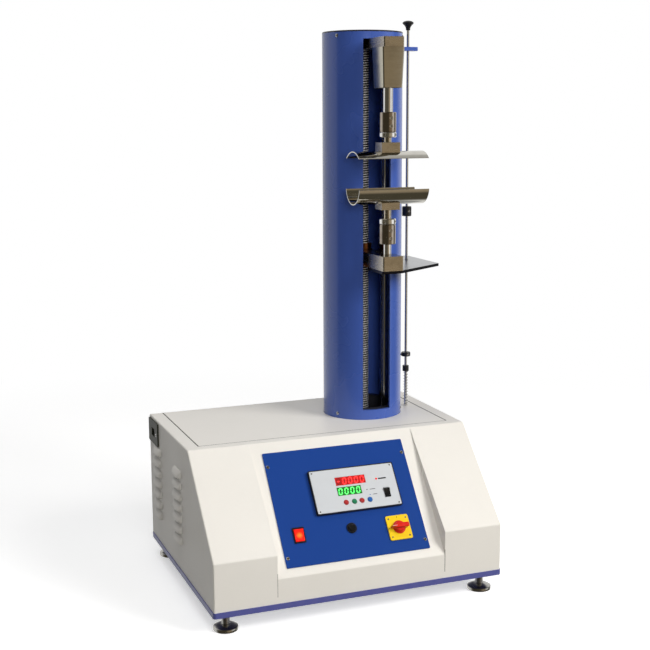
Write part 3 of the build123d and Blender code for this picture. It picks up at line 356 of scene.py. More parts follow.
def new_group(key, name, inputs, outputs):
    """A node group with sockets of the given kinds; gives it and its inner sockets, given and result."""
    group = groups[key] = bpy.data.node_groups.new(name, "ShaderNodeTree")
    for way, sockets in (("INPUT", inputs), ("OUTPUT", outputs)):
        for label, kind in sockets.items():
            group.interface.new_socket(name=label, in_out=way, socket_type="NodeSocket" + kind)
    return group, group.nodes.new("NodeGroupInput").outputs, group.nodes.new("NodeGroupOutput").inputs


def build_groups():
    """Powder coat, brushed lines, soil, and edge wear with a painted edge highlight, each built once."""
    laid = {"Vector": "Vector", "Colour": "Color"}
    surface = {"Colour": "Color", "Roughness": "Float", "Height": "Float"}

    settings = {"Grain": "Float", "Tone": "Float", "Roughness": "Float"}
    tree, given, result = new_group("powder", "Powder coat", laid | settings, surface)
    grain = noise(tree, given["Vector"], given["Grain"], 3, 0.6)
    cloud = math_node(tree, "SUBTRACT", noise(tree, given["Vector"], 7.0, 3, 0.55), 0.5)
    shift = product(tree, cloud, given["Tone"])
    speck = product(tree, math_node(tree, "SUBTRACT", grain, 0.5), given["Tone"])
    tone = total(tree, total(tree, 1.0, product(tree, shift, 2.0)), speck)
    rough = product(tree, cloud, 0.18)
    feed(tree, result["Colour"], scaled(tree, given["Colour"], tone))
    feed(tree, result["Roughness"], total(tree, given["Roughness"], rough, clamp=True))
    feed(tree, result["Height"], grain)

    settings = {"Lines": "Float", "Contrast": "Float", "Roughness": "Float"}
    tree, given, result = new_group("brushed", "Brushed lines", laid | settings, surface)
    lines = noise(tree, given["Vector"], given["Lines"], 4, 0.7)
    broad = noise(tree, given["Vector"], 3.0, 2, 0.5)
    mixed = total(tree, product(tree, lines, 0.7), product(tree, broad, 0.3))
    centred = product(tree, math_node(tree, "SUBTRACT", mixed, 0.5), given["Contrast"])
    rough = product(tree, centred, 0.8)
    feed(tree, result["Colour"], scaled(tree, given["Colour"], total(tree, 1.0, centred)))
    feed(tree, result["Roughness"], total(tree, given["Roughness"], rough, clamp=True))
    feed(tree, result["Height"], lines)

    settings = {"Soil colour": "Color", "Amount": "Float", "Size": "Float"}
    tree, given, result = new_group("soil", "Soil", laid | settings, {"Colour": "Color", "Mask": "Float"})
    smudge = noise(tree, given["Vector"], given["Size"], 5, 0.65)
    spread = tree.nodes.new("ShaderNodeMapRange")
    feed_all(tree, spread, Value=smudge, From_Min=0.48, From_Max=0.72)
    mask = product(tree, spread.outputs[0], given["Amount"], clamp=True)
    feed(tree, result["Colour"], mix_colour(tree, mask, given["Colour"], given["Soil colour"]))
    feed(tree, result["Mask"], mask)

    settings = {"Edge colour": "Color", "Amount": "Float"}
    outputs = {"Colour": "Color", "Normal": "Vector"}
    tree, given, result = new_group("edge", "Edge wear and highlight", laid | settings, outputs)
    # Lighter edges: partly wear, broken up by noise, and partly a painted highlight along every edge that the
    # bevel finds
    bevel = feed_all(tree, tree.nodes.new("ShaderNodeBevel"), Radius=0.9 * MM)
    bevel.samples = 4
    normal = tree.nodes.new("ShaderNodeNewGeometry").outputs["Normal"]
    turned_away = math_node(tree, "SUBTRACT", 1.0, vector_node(tree, "DOT_PRODUCT", bevel.outputs[0], normal))
    edge = product(tree, turned_away, 6.0, clamp=True)
    broken = product(tree, noise(tree, given["Vector"], 160.0, 3, 0.6), given["Amount"])
    worn_and_lit = product(tree, edge, broken, clamp=True)
    feed(tree, result["Colour"], mix_colour(tree, worn_and_lit, given["Colour"], given["Edge colour"]))
    feed(tree, result["Normal"], bevel.outputs[0])


def use_group(tree, key, **values):
    """A group node with its inputs fed by name."""
    node = tree.nodes.new("ShaderNodeGroup")
    node.node_tree = groups[key]
    return feed_all(tree, node, **values)


# Materials
def new_material(name):
    """A node material with a Principled shader; gives the material, its tree and the shader."""
    material = bpy.data.materials.new(name)
    material.use_nodes = True
    tree = material.node_tree
    return material, tree, tree.nodes["Principled BSDF"]


def lighter(colour, gain, lift):
    """A colour times gain plus lift, at most white."""
    return tuple(min(1, c * gain + lift) for c in colour)


def layered(name, kind, settings, soil, edge, strength, depth, stretch=(1, 1, 1), **constants):
    """A material of a base group, soil in patches and lighter edges that are partly wear and partly a painted
    highlight, with a bump from the base's height.

    The base group has settings of its own, and its coordinates may be stretched; constants go to the shader.
    """
    material, tree, shader = new_material(name)
    place = object_coordinates(tree)
    base = use_group(tree, kind, Vector=object_coordinates(tree, stretch), **settings).outputs
    soiled = use_group(tree, "soil", Vector=place, Colour=base["Colour"], **soil).outputs
    edged = use_group(tree, "edge", Vector=place, Colour=soiled["Colour"], **edge).outputs
    normal = bump(tree, base["Height"], strength, depth, edged["Normal"])
    feed_all(tree, shader, Base_Color=edged["Colour"], Roughness=base["Roughness"], Normal=normal, **constants)
    return material


def enamel(name, colour, roughness, grain, strength, coat=0.0, soil=0.08, wear_and_highlight=0.25, wear_and_highlight_colour=None,
           shine=0.5):
    """Sprayed paint: fine orange peel, cloudy tone, a little soil, and lighter edges that are partly wear and
    partly a painted highlight.
    """
    return layered(
        name, "powder", {"Colour": colour, "Grain": grain, "Tone": 0.04, "Roughness": roughness},
        {"Soil_colour": tuple(c * 0.55 for c in colour), "Amount": soil, "Size": 14.0},
        {"Edge_colour": wear_and_highlight_colour or lighter(colour, 1.35, 0.05), "Amount": wear_and_highlight}, strength, 0.2 * MM,
        Coat_Weight=coat, Coat_Roughness=0.08, Specular_IOR_Level=shine,
    )


def metal(name, colour, roughness, stretch=(1, 1, 1), lines=60.0, contrast=0.25, strength=0.15, soil=0.15,
          soil_colour=(0.09, 0.07, 0.04)):
    """Worked metal: brushing or turning lines, old oil in patches, and brighter edges that are partly wear and
    partly a painted highlight.
    """
    return layered(
        name, "brushed", {"Colour": colour, "Lines": lines, "Contrast": contrast, "Roughness": roughness},
        {"Soil_colour": soil_colour, "Amount": soil, "Size": 30.0},
        {"Edge_colour": (0.9, 0.9, 0.88), "Amount": 0.4}, strength, 0.1 * MM, stretch, Metallic=1.0,
    )


def plastic(name, colour, roughness, grain=1500.0, strength=0.08, coat=0.0, glow=None, glow_strength=0.0):
    """Moulded plastic with a fine skin, a little dust, lighter edges that are partly wear and partly a painted
    highlight, and, for a lit piece, its own light.
    """
    light = {"Emission_Color": glow, "Emission_Strength": glow_strength} if glow else {}
    return layered(
        name, "powder", {"Colour": colour, "Grain": grain, "Tone": 0.03, "Roughness": roughness},
        {"Soil_colour": (0.35, 0.33, 0.3), "Amount": 0.05, "Size": 60.0},
        {"Edge_colour": lighter(colour, 1.3, 0.03), "Amount": 0.3}, strength, 0.1 * MM,
        Coat_Weight=coat, **light,
    )


def lit_rocker(name, edge_colour, core_colour, centre, radius):
    """Translucent red plastic lit from inside: the light is strongest round the given centre."""
    material, tree, shader = new_material(name)
    place = object_coordinates(tree, place=tuple(-c for c in centre))
    core = smooth_step(tree, vector_node(tree, "LENGTH", place), radius, 0.0)
    colour = mix_colour(tree, core, edge_colour, core_colour)
    normal = bump(tree, noise(tree, place, 1800.0), 0.06, 0.1 * MM)
    feed_all(tree, shader, Base_Color=colour, Emission_Color=colour, Emission_Strength=0.75, Roughness=0.25,
             Normal=normal)
    return material


# Sizes and colours that a user may change
def colour_property(name, description, default):
    """A colour setting."""
    return FloatVectorProperty(
        name=name, description=description, subtype="COLOR", size=3, min=0, max=1, default=default
    )


class CabinetLook(bpy.types.PropertyGroup):
    """Paints of the cabinet, the panel and the column."""

    cream: colour_property("Cabinet cream", "Powder coat of the cabinet", (0.82, 0.79, 0.735))
    plinth: colour_property("Base blue", "Enamel of the base plate", (0.095, 0.105, 0.33))
    panel: colour_property("Panel blue", "Sheet of the control panel", (0.012, 0.052, 0.255))
    column: colour_property("Column blue", "Enamel of the column", (0.052, 0.108, 0.41))
    grain: FloatProperty(name="Grain", description="Fineness of the coat, per metre", default=700.0, min=50)


class MetalLook(bpy.types.PropertyGroup):
    """Colours of the bare metals."""

    steel: colour_property("Machined steel", "Blocks, spigots and plates", (0.60, 0.54, 0.43))
    polished: colour_property("Polished steel", "Jaws and rings", (0.66, 0.64, 0.58))
    coupling: colour_property("Coupling steel", "The two couplings", (0.40, 0.35, 0.29))
    sheet: colour_property("Cover sheet", "Folded cover of the load cell", (0.50, 0.47, 0.39))
    bronze: colour_property("Bronze", "Nut and bushes", (0.42, 0.16, 0.06))


def length_property(name, description, default):
    """A length setting."""
    return FloatProperty(name=name, description=description, default=default, unit="LENGTH")


class ThreadSizes(bpy.types.PropertyGroup):
    """Threads of the lead screw and of the feet."""

    screw_pitch: length_property("Screw pitch", "Pitch of the lead screw", 5 * MM)
    screw_depth: length_property("Screw depth", "Depth of its thread", 2.4 * MM)
    # A dark film over the thread's root: old oil, and painted shade in the root
    oil_and_shade_film: length_property("Oil and shade film", "Oil and painted shade over the root", 1.3 * MM)
    foot_pitch: length_property("Foot pitch", "Pitch of the foot studs", 2 * MM)
    foot_depth: length_property("Foot depth", "Depth of their thread", 0.9 * MM)
    foot_rim: length_property("Foot rim", "Height of the feet's rim", 7.5 * MM)
    foot_dome: length_property("Foot dome", "Height of their crown", 12 * MM)
    segments: IntProperty(name="Segments", description="Faces round a thread", default=22, min=8, max=64)


class DisplayLook(bpy.types.PropertyGroup):
    """What the two displays show."""

    upper_digits: StringProperty(name="Upper digits", description="Load display", default="-0000")
    lower_digits: StringProperty(name="Lower digits", description="Second display", default="0000")
    red: colour_property("Red", "Glow of the upper digits", (1.0, 0.03, 0.03))
    green: colour_property("Green", "Glow of the lower digits", (0.1, 0.95, 0.15))
    glow: FloatProperty(name="Glow", description="Strength of the digits", default=1.6, min=0)


class StudioLook(bpy.types.PropertyGroup):
    """Floor, lamps and camera."""

    floor: colour_property("Floor", "Plain pale floor", (0.90, 0.90, 0.90))
    floor_glow: FloatProperty(name="Floor glow", description="Added for the camera alone", default=0.52, min=0)
    room: colour_property("Room", "What polished metal shows of the room in front", (0.075, 0.066, 0.045))
    warm_wall: colour_property("Warm wall", "Lighter patch of the room ahead of the jaws", (0.36, 0.29, 0.20))
    key_power: FloatProperty(name="Key", description="Soft lamp at the right", default=132.0, unit="POWER")
    fill_power: FloatProperty(name="Fill", description="Soft lamp above", default=21.0, unit="POWER")
    slot_power: FloatProperty(name="Slot", description="Weak lamp near the camera", default=26.0, unit="POWER")
    ambient: FloatProperty(name="Ambient", description="Light of the surroundings", default=0.15, min=0)
    lens: FloatProperty(name="Lens", description="Focal length in millimetres", default=66.54, min=10)


def finish_table(context):
    """A finish for every material slot of the record."""
    cabinet = context.scene.tester_cabinet
    metals = context.scene.tester_metals
    cream, plinth = tuple(cabinet.cream), tuple(cabinet.plinth)
    blue, column = tuple(cabinet.panel), tuple(cabinet.column)
    steel, polished, sheet = tuple(metals.steel), tuple(metals.polished), tuple(metals.sheet)
    return {
        "cabinet_paint": enamel("Cream powder coat", cream, 0.42, cabinet.grain, 0.35, soil=0.05),
        "base_paint": enamel("Blue base enamel", plinth, 0.38, 500.0, 0.25, soil=0.12, wear_and_highlight=0.5),
        "panel_paint": enamel("Blue panel sheet", blue, 0.42, 1100.0, 0.08, soil=0.04, shine=0.2),
        "column_paint": enamel("Blue column enamel", column, 0.27, 260.0, 0.10, coat=0.2, soil=0.012),
        "stand_paint": enamel("Grey primer", (0.03, 0.03, 0.035), 0.6, 500.0, 0.3, soil=0.5, wear_and_highlight=0.4),
        "motor_paint": enamel("Dark motor paint", (0.02, 0.022, 0.026), 0.5, 500.0, 0.3),
        # Its grey edges, at a high amount, are partly wear and partly a painted highlight
        "black_collar": enamel("Blackened steel", (0.012, 0.012, 0.013), 0.35, 900.0, 0.2, wear_and_highlight=0.8,
                               wear_and_highlight_colour=(0.25, 0.25, 0.25)),
        "machine_steel": metal("Machined steel", steel, 0.26, stretch=(1, 1, 14), lines=45.0, soil=0.3),
        "polished_steel": metal("Polished steel", polished, 0.09, stretch=(0.6, 12, 12), lines=18.0,
                                contrast=0.12, strength=0.04, soil=0.12),
        "cover_steel": metal("Brushed cover sheet", sheet, 0.2, stretch=(1, 1, 30), lines=25.0, contrast=0.3,
                             strength=0.08, soil=0.18),
        "foot_steel": metal("Foot steel", (0.50, 0.49, 0.46), 0.24, stretch=(1, 1, 20), soil=0.35),
        "screw_steel": metal("Bright zinc", (0.62, 0.62, 0.62), 0.22, lines=200.0, soil=0.1),
        "rod_steel": metal("Ground rod", (0.72, 0.72, 0.70), 0.18, stretch=(1, 1, 40), lines=30.0,
                           contrast=0.08, strength=0.03, soil=0.05),
        "spring_steel": metal("Spring wire", (0.62, 0.61, 0.58), 0.25, lines=90.0),
        "bronze": metal("Bronze", tuple(metals.bronze), 0.32, stretch=(1, 1, 14), soil=0.3),
        "pulley_alloy": metal("Pulley alloy", (0.6, 0.6, 0.6), 0.35, stretch=(1, 1, 30)),
        "cell_alloy": metal("Load cell alloy", (0.55, 0.55, 0.55), 0.3),
        "supply_case": metal("Supply case", (0.5, 0.5, 0.5), 0.4),
        "belt_rubber": plastic("Belt rubber", (0.015, 0.015, 0.015), 0.7, 900.0, 0.3),
        "black_plastic": plastic("Black moulded plastic", (0.011, 0.011, 0.012), 0.42, 1400.0, 0.15),
        "black_gloss": plastic("Black gloss plastic", (0.009, 0.009, 0.01), 0.18, 900.0, 0.05, coat=0.3),
        "face_film": plastic("Silver face film", (0.60, 0.62, 0.64), 0.36, 2500.0, 0.05, coat=0.1),
        "display_red": plastic("Display window", (0.03, 0.004, 0.004), 0.12, 900.0, 0.02, coat=0.5),
        "key_red": plastic("Red key", (0.42, 0.03, 0.03), 0.35, 1500.0, 0.1),
        "key_green": plastic("Green key", (0.02, 0.20, 0.09), 0.35, 1500.0, 0.1),
        "key_blue": plastic("Blue key", (0.02, 0.12, 0.40), 0.35, 1500.0, 0.1),
        "rocker_red": lit_rocker("Lit red rocker", (0.75, 0.012, 0.006), (1.0, 0.26, 0.03),
                                 middle("mains_rocker"), 9 * MM),
        "plate_yellow": plastic("Yellow plate", (0.91, 0.61, 0.012), 0.38, 1400.0, 0.12, coat=0.1),
        "knob_red": plastic("Red handle", (0.68, 0.015, 0.006), 0.32, 1400.0, 0.1, coat=0.2),
    }


def trip_plate_finish():
    """Sheet steel, bright on faces that lie flat and near black on faces that stand upright, by how far a face
    lies flat.
    """
    plate = metal("Trip plate steel", (0.46, 0.47, 0.48), 0.3, stretch=(1, 14, 1), lines=45.0, contrast=0.15,
                  soil=0.2)
    tree = plate.node_tree
    paint = tree.nodes["Principled BSDF"].inputs["Base Color"]
    split = tree.nodes.new("ShaderNodeSeparateXYZ")
    feed(tree, split.inputs[0], tree.nodes.new("ShaderNodeNewGeometry").outputs["Normal"])
    flat = smooth_step(tree, math_node(tree, "ABSOLUTE", split.outputs["Z"]), 0.4, 0.7)
    feed(tree, paint, mix_colour(tree, flat, (0.02, 0.02, 0.03), paint.links[0].from_socket))
    return plate


def special_finishes(context):
    """Finishes of single nodes that look unlike the rest of their slot, such as the column's dark cap."""
    lathe = (1, 1, 30)
    # The couplings' rust-brown soil patches are partly old oil and partly a painted reflection of the nearby
    # bronze
    coupling = metal("Turned coupling", tuple(context.scene.tester_metals.coupling), 0.16, stretch=lathe,
                     lines=50.0, contrast=0.3, soil=0.4, soil_colour=(0.12, 0.05, 0.03))
    ring = metal("Bright ring", (0.86, 0.85, 0.82), 0.2, stretch=lathe, lines=50.0, soil=0.1)
    spigot = metal("Bright spigot", (0.84, 0.83, 0.80), 0.15, stretch=lathe, lines=50.0, contrast=0.15,
                   soil=0.1)
    special = {
        "column_cap": enamel("Dark cap enamel", (0.012, 0.014, 0.03), 0.3, 400.0, 0.1, wear_and_highlight=0.5),
        "connector_plate": enamel("Olive connector plate", (0.034, 0.036, 0.022), 0.5, 500.0, 0.2, soil=0.1,
                                  shine=0.2),
        "trip_plate": trip_plate_finish(),
        "rod_collars": finishes["black_collar"],
    }
    for jaw in ("upper", "lower"):
        special.update({f"{jaw}_coupling": coupling, f"{jaw}_lock_ring": ring, f"{jaw}_spigot": spigot})
    return special


class TESTER_OT_finishes(bpy.types.Operator):
    """Gives every CAD node the finish of its material slot, and a few nodes one of their own"""

    bl_idname = "tester.finishes"
    bl_label = "Finishes"

    def execute(self, context):
        build_groups()
        finishes.update(finish_table(context))
        for name, node in nodes.items():
            node.data.materials.clear()
            node.data.materials.append(finishes[node_slots[name]])
        for name, material in special_finishes(context).items():
            nodes[name].material_slots[0].material = material
        return {"FINISHED"}


class TESTER_OT_lead_screw(bpy.types.Operator):
    """Threads the lead screw between its journals"""

    bl_idname = "tester.lead_screw"
    bl_label = "Lead screw"

    def execute(self, context):
        sizes = context.scene.tester_threads
        low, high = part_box("lead_screw")
        centre = plan_middle(low, high)
        radius = (high.x - low.x) / 2
        root = radius - sizes.screw_depth
        journal = radius - 2.5 * MM
        chamfer, tiny = 0.5 * MM, 0.01 * MM
        below_stand, below_beam, sleeve_gap = 51 * MM, 4 * MM, 3 * MM
        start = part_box("column_stand")[1].z - below_stand
        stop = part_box("top_beam")[1].z - below_beam
        n = sizes.segments
        lower_end = [(tiny, low.z), (journal - chamfer, low.z), (journal, low.z + chamfer),
                     (journal, start - 1.5 * MM), (root, start)]
        upper_end = [(root, stop), (journal, stop + 2 * MM), (journal, high.z - chamfer),
                     (journal - chamfer, high.z), (tiny, high.z)]
        patches = [
            threaded(radius, sizes.screw_depth, sizes.screw_pitch, start, stop, centre, n, steps=10,
                     run_out=2 * MM),
            turned(lower_end, n, centre),
            turned(upper_end, n, centre),
        ]
        steel = metal("Screw crests", (0.96, 0.95, 0.93), 0.3, lines=80.0, soil=0.1,
                      soil_colour=(0.14, 0.07, 0.04))
        steel.node_tree.nodes["Principled BSDF"].inputs["Metallic"].default_value = 0.35
        make_piece("lead_screw_thread", patches, "screw", "machine_steel", ("lead_screw",), steel, sharp=60)
        # Old oil fills the thread, and this dark sleeve is also painted shade in the thread's roots, so only the
        # crests stand out of it
        oil_and_root_shade = enamel("Old oil and root shade", (0.018, 0.012, 0.008), 0.3, 300.0, 0.3, soil=0.4, wear_and_highlight=0.0)
        film = root + sizes.oil_and_shade_film
        sleeve = turned([(film, start + sleeve_gap), (film, stop - sleeve_gap)], n, centre)
        make_piece("lead_screw_oil_and_shade", [sleeve], "screw", "machine_steel", material=oil_and_root_shade)
        return {"FINISHED"}


class TESTER_OT_feet(bpy.types.Operator):
    """Turns the four levelling feet: domed discs with a collar, and threaded studs"""

    bl_idname = "tester.feet"
    bl_label = "Levelling feet"

    def execute(self, context):
        sizes = context.scene.tester_threads
        zinc = metal("Zinc stud", (0.62, 0.61, 0.58), 0.3, lines=90.0, soil=0.25)
        stud = 7.95 * MM
        core = stud - sizes.foot_depth
        dome, edge = sizes.foot_dome, sizes.foot_rim
        brim = dome + 0.5 * MM
        collar = [(stud + 1.5 * MM, dome), (stud + 1.2 * MM, brim), (stud - 1 * MM, brim)]
        for foot in ("foot_front_left", "foot_front_right", "foot_back_left", "foot_back_right"):
            low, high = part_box(foot)
            centre = plan_middle(low, high)
            wide = (high.x - low.x) / 2
            rim = [(0.01 * MM, 0), (wide - 1.2 * MM, 0), (wide - 0.3 * MM, 0.4 * MM), (wide, 1.2 * MM),
                   (wide, edge - 1.5 * MM), (wide - 0.4 * MM, edge - 0.5 * MM)]
            # Crown: radius falls evenly and height rises as a quarter sine, from the rim to the collar
            a = np.linspace(0, 1, 14)[:, None]
            crown = np.hstack([wide - 1.2 * MM + (stud + 2.7 * MM - wide) * a,
                               edge + (dome - edge) * np.sin(a * pi / 2)])
            foot_disc = turned(np.vstack([rim, crown, collar]), 56, centre)
            make_piece(foot + "_disc", [foot_disc], foot, "foot_steel", (foot,), sharp=40)
            thread = [
                threaded(stud, sizes.foot_depth, sizes.foot_pitch, dome, high.z, centre, 20, steps=7,
                         run_out=1.5 * MM),
                turned([(core, high.z), (core * 0.001, high.z)], 20, centre),
            ]
            make_piece(foot + "_stud", thread, foot, "foot_steel", material=zinc, sharp=60)
        return {"FINISHED"}


def pan_head(seat, out, radius, height, turn):
    """The head of a pan-head screw with a cross recess.

    Height = height (1 - 0.75 (r / radius)^2.6), less 0.75 height in the recess: where one of the two turned
    coordinates is under 0.12 of the radius and r is under 0.62 of it.
    """
    rings, segments = 16, 48
    r = np.linspace(0.002, 1, rings)[:, None] * radius
    t = circle(segments)
    top = around(r, t, height * (1 - (r / radius) ** 2.6 * 0.75))
    x, y = top[:, 0], top[:, 1]
    arm = np.minimum(np.abs(x * cos(turn) + y * sin(turn)), np.abs(y * cos(turn) - x * sin(turn)))
    recess = (arm < radius * 0.12) & (np.hypot(x, y) < radius * 0.62)
    top[recess, 2] -= height * 0.75
    points = np.vstack([top, around(r[-1:], t, 0 * r[-1:])])
    points = points @ turn_to(out).T + seat
    return points, grid_faces(rings + 1, segments, close_columns=True)[:, ::-1]


def screw_places():
    """The seat and the outward direction of each pan-head screw, read from the points of the CAD node."""
    reach, seat_depth = 16 * MM, 2 * MM
    points = np.unique(node_points("pan_head_screws").round(6), axis=0)
    axis = np.array([middle("column_tube").x, middle("column_cap").y, 0])
    cabinet_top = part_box("top_cover")[1].z
    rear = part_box("rear_panel")[1].y
    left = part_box("cabinet_shell")[0].x
    places = []
    while len(points):
        own = np.linalg.norm(points - points[0], axis=1) < reach
        screw, points = points[own], points[~own]
        centre = screw.mean(0)
        if centre[2] > cabinet_top:
            radial = (centre - axis) * (1, 1, 0)
            out = radial / np.linalg.norm(radial)
        elif centre[1] > rear - 8 * MM:
            out = np.array([0.0, 1.0, 0.0])
        elif centre[0] < left + 15 * MM:
            out = np.array([-1.0, 0.0, 0.0])
        else:
            out = panel.out
        distance = (screw - centre) @ out
        head = screw[distance > distance.max() - 0.2 * MM].mean(0)
        places.append((head - out * seat_depth, out))
    return places


class TESTER_OT_screw_heads(bpy.types.Operator):
    """Puts a cross recess and a domed head on every pan-head screw"""

    bl_idname = "tester.screw_heads"
    bl_label = "Screw heads"

    def execute(self, context):
        heads = [pan_head(seat, out, radius=3.55 * MM, height=1.98 * MM, turn=0.6 * k)
                 for k, (seat, out) in enumerate(screw_places())]
        make_piece("screw_heads", heads, "frame", "screw_steel", ("pan_head_screws",), sharp=30)
        return {"FINISHED"}


class TESTER_OT_grub_screws(bpy.types.Operator):
    """Sets socket grub screws in the two front holes of each coupling"""

    bl_idname = "tester.grub_screws"
    bl_label = "Grub screws"

    def execute(self, context):
        body_shape = mm((3.4, -2.6), (3.4, -0.3), (3.1, 0), (1.9, 0))
        socket_shape = mm((1.9, 0), (1.55, -0.15), (1.5, -2), (0.01, -2.2))
        spacing, sunk = 16 * MM, 0.9 * MM
        turn = turn_to((0, -1, 0))
        for coupling, body in (("lower_coupling", "crosshead"), ("upper_coupling", "frame")):
            centre = middle(coupling)
            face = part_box(coupling)[0].y
            patches = []
            for side in (-1, 1):
                mouth = (centre.x, face + sunk, centre.z + side * spacing / 2)
                patches += [turned(body_shape, 36, mouth, turn), turned(socket_shape, 6, mouth, turn)]
            make_piece(coupling + "_grub_screws", patches, body, "rod_steel", sharp=25)
        return {"FINISHED"}


SEGMENTS = {
    "0": "abcdef", "1": "bc", "2": "abged", "3": "abgcd", "4": "fgbc", "5": "afgcd",
    "6": "afgedc", "7": "abc", "8": "abcdefg", "9": "abcfgd", "-": "g", " ": "",
}


def digit_patches(text, centre, pitch, width, height, stroke, lean, lift):
    """Seven-segment digits on the panel plane: each segment is a six-sided bar, sheared to the right by lean.

    Gives the patches of the lit segments, and those of the unlit ones with the points between the digits.
    """
    half_w, half_h, tip = width / 2, height / 2, stroke / 2
    # The middle of each segment and whether it stands upright
    bars = {
        "a": ((0, half_h), False), "g": ((0, 0), False), "d": ((0, -half_h), False),
        "b": ((half_w, half_h / 2), True), "c": ((half_w, -half_h / 2), True),
        "f": ((-half_w, half_h / 2), True), "e": ((-half_w, -half_h / 2), True),
    }
    bar_faces = np.array([[0, 5, 4, 1], [1, 4, 3, 2]])
    dot_faces = np.array([[0, 1, 2, 3], [0, 3, 4, 7], [4, 5, 6, 7]])
    disc = tip * np.column_stack([np.cos(circle(8)), np.sin(circle(8))])

    def on_panel(outline):
        """A flat outline round the digits' middle, set on the panel."""
        flat = np.column_stack([outline + np.asarray(centre[:2]), np.full(len(outline), centre[2] + lift)])
        return panel.place(flat)

    lit, unlit = [], []
    for place, character in enumerate(text):
        offset = (place - (len(text) - 1) / 2) * pitch
        for key, (bar_middle, upright) in bars.items():
            half = ((half_h if upright else width) - stroke * 0.35) / 2
            bar = np.array([(-half, 0), (tip - half, tip), (half - tip, tip), (half, 0),
                            (half - tip, -tip), (tip - half, -tip)])
            if upright:
                bar = bar[:, ::-1] * (1, -1)
            bar = bar + bar_middle
            bar[:, 0] += bar[:, 1] * lean + offset
            (lit if key in SEGMENTS[character] else unlit).append((on_panel(bar), bar_faces))
        dot = disc + (offset + half_w + stroke * 1.25 - half_h * lean, -half_h)
        unlit.append((on_panel(dot), dot_faces))
    return lit, unlit


class TESTER_OT_displays(bpy.types.Operator):
    """Lights the digits behind the two display windows"""

    bl_idname = "tester.displays"
    bl_label = "Displays"

    def execute(self, context):
        look = context.scene.tester_displays
        low, high = panel.reach("display_modules")
        meter_x = sum(corner[0] for corner in panel.reach("meter_face")) / 2
        surface, display_height, gap = high[2], 17.4 * MM, 0.2 * MM
        red, green = tuple(look.red), tuple(look.green)
        upper_y, lower_y = high[1] - display_height / 2, low[1] + display_height / 2
        rows = (
            ("upper", look.upper_digits, meter_x - 7 * MM, upper_y, 64 * MM, red, 0.5),
            ("lower", look.lower_digits, meter_x - 13.8 * MM, lower_y, 51.3 * MM, green, 0.12),
        )
        for name, text, x, y, width, colour, haze in rows:
            pitch = width / (len(text) + 0.1)
            lit, unlit = digit_patches(text, (x, y, surface), pitch, width=pitch * 0.5,
                                       height=display_height * 0.68, stroke=1.9 * MM, lean=0.13, lift=0.12 * MM)
            material, tree, shader = new_material(f"Lit digits {name}")
            feed_all(tree, shader, Base_Color=colour, Emission_Color=colour, Emission_Strength=look.glow)
            dark = tuple(c * 0.09 + 0.004 for c in colour)
            off = plastic(f"Unlit segments {name}", dark, 0.3, glow=colour, glow_strength=0.03)
            tint = plastic(f"Display tint {name}", tuple(c * 0.10 + 0.004 for c in colour), 0.15, 900.0, 0.02,
                           coat=0.4, glow=colour, glow_strength=haze)
            window = slab(rounded_outline(width - gap, display_height - gap, 0.4 * MM), 0, 0.06 * MM)
            for piece, patches, finish in (
                ("digits", lit, material),
                ("unlit_segments", unlit, off),
                ("window", [panel.put(window, x, y, surface)], tint),
            ):
                make_piece(f"{name}_{piece}", patches, "frame", "display_red", material=finish)
        return {"FINISHED"}


class TESTER_OT_meter_marks(bpy.types.Operator):
    """Adds the rings and dishes of the meter's keys, its pilot lamps, its plain bars and its fixing screws"""

    bl_idname = "tester.meter_marks"
    bl_label = "Meter marks"

    def execute(self, context):
        low, high = panel.reach("meter_face")
        x0, y0 = (low[:2] + high[:2]) / 2
        surface = high[2]
        turn = panel.axes.T
        ring_shape = mm((4.35, 0), (5.3, 0), (5.45, 0.25), (5.2, 0.5), (4.5, 0.5), (4.35, 0.2), (4.35, 0))
        dish_shape = mm((3.0, 0.02), (2.6, 0.25), (1.2, 0.05), (0.01, 0.0))
        for key in ("key_red_left", "key_green", "key_red_right", "key_blue"):
            key_low, key_high = panel.reach(key)
            x, y = (key_low[:2] + key_high[:2]) / 2
            slot = node_slots[key]
            ring = turned(ring_shape, 40, panel.place([x, y, surface]), turn)
            dish = turned(dish_shape, 32, panel.place([x, y, key_high[2]]), turn)
            make_piece(key + "_ring", [ring], "frame", slot)
            make_piece(key + "_dish", [dish], key, slot)
        lamp_shape = mm((1.7, 0), (1.7, 0.5), (1.45, 1.0), (0.9, 1.35), (0.01, 1.5))
        lit = plastic("Pilot lamp", (0.6, 0.01, 0.01), 0.2, glow=(1.0, 0.05, 0.03), glow_strength=0.6)
        lamps = (
            ("load_lamp", 48, 14, "key_red", 1.2, lit),
            ("zero_lamp", 23, -6, "black_gloss", 0.6, None),
            ("peak_lamp", 27, -17, "key_blue", 0.6, None),
        )
        for name, x, y, slot, scale, material in lamps:
            lamp = turned(lamp_shape * scale, 24, panel.place([x0 + x * MM, y0 + y * MM, surface]), turn)
            make_piece(name, [lamp], "frame", slot, material=material)
        bars = []
        for x, y, width, height in ((61, 14, 17, 2.6), (35, -6, 12, 1.1), (38, -17, 9, 1.1)):
            bar = slab(rounded_outline(width * MM, height * MM, 0.4 * MM), 0, 0.12 * MM)
            bars.append(panel.put(bar, x0 + x * MM, y0 + y * MM, surface))
        make_piece("meter_bars", bars, "frame", "black_plastic")
        corner_x, corner_y = 84 * MM, 40 * MM
        corners = [(x0 + sx * corner_x, y0 + sy * corner_y, surface) for sx in (-1, 1) for sy in (-1, 1)]
        heads = [pan_head(panel.place(corner), panel.out, radius=1.7 * MM, height=0.8 * MM, turn=0.4 * k)
                 for k, corner in enumerate(corners)]
        make_piece("meter_face_screws", heads, "frame", "rod_steel")
        return {"FINISHED"}


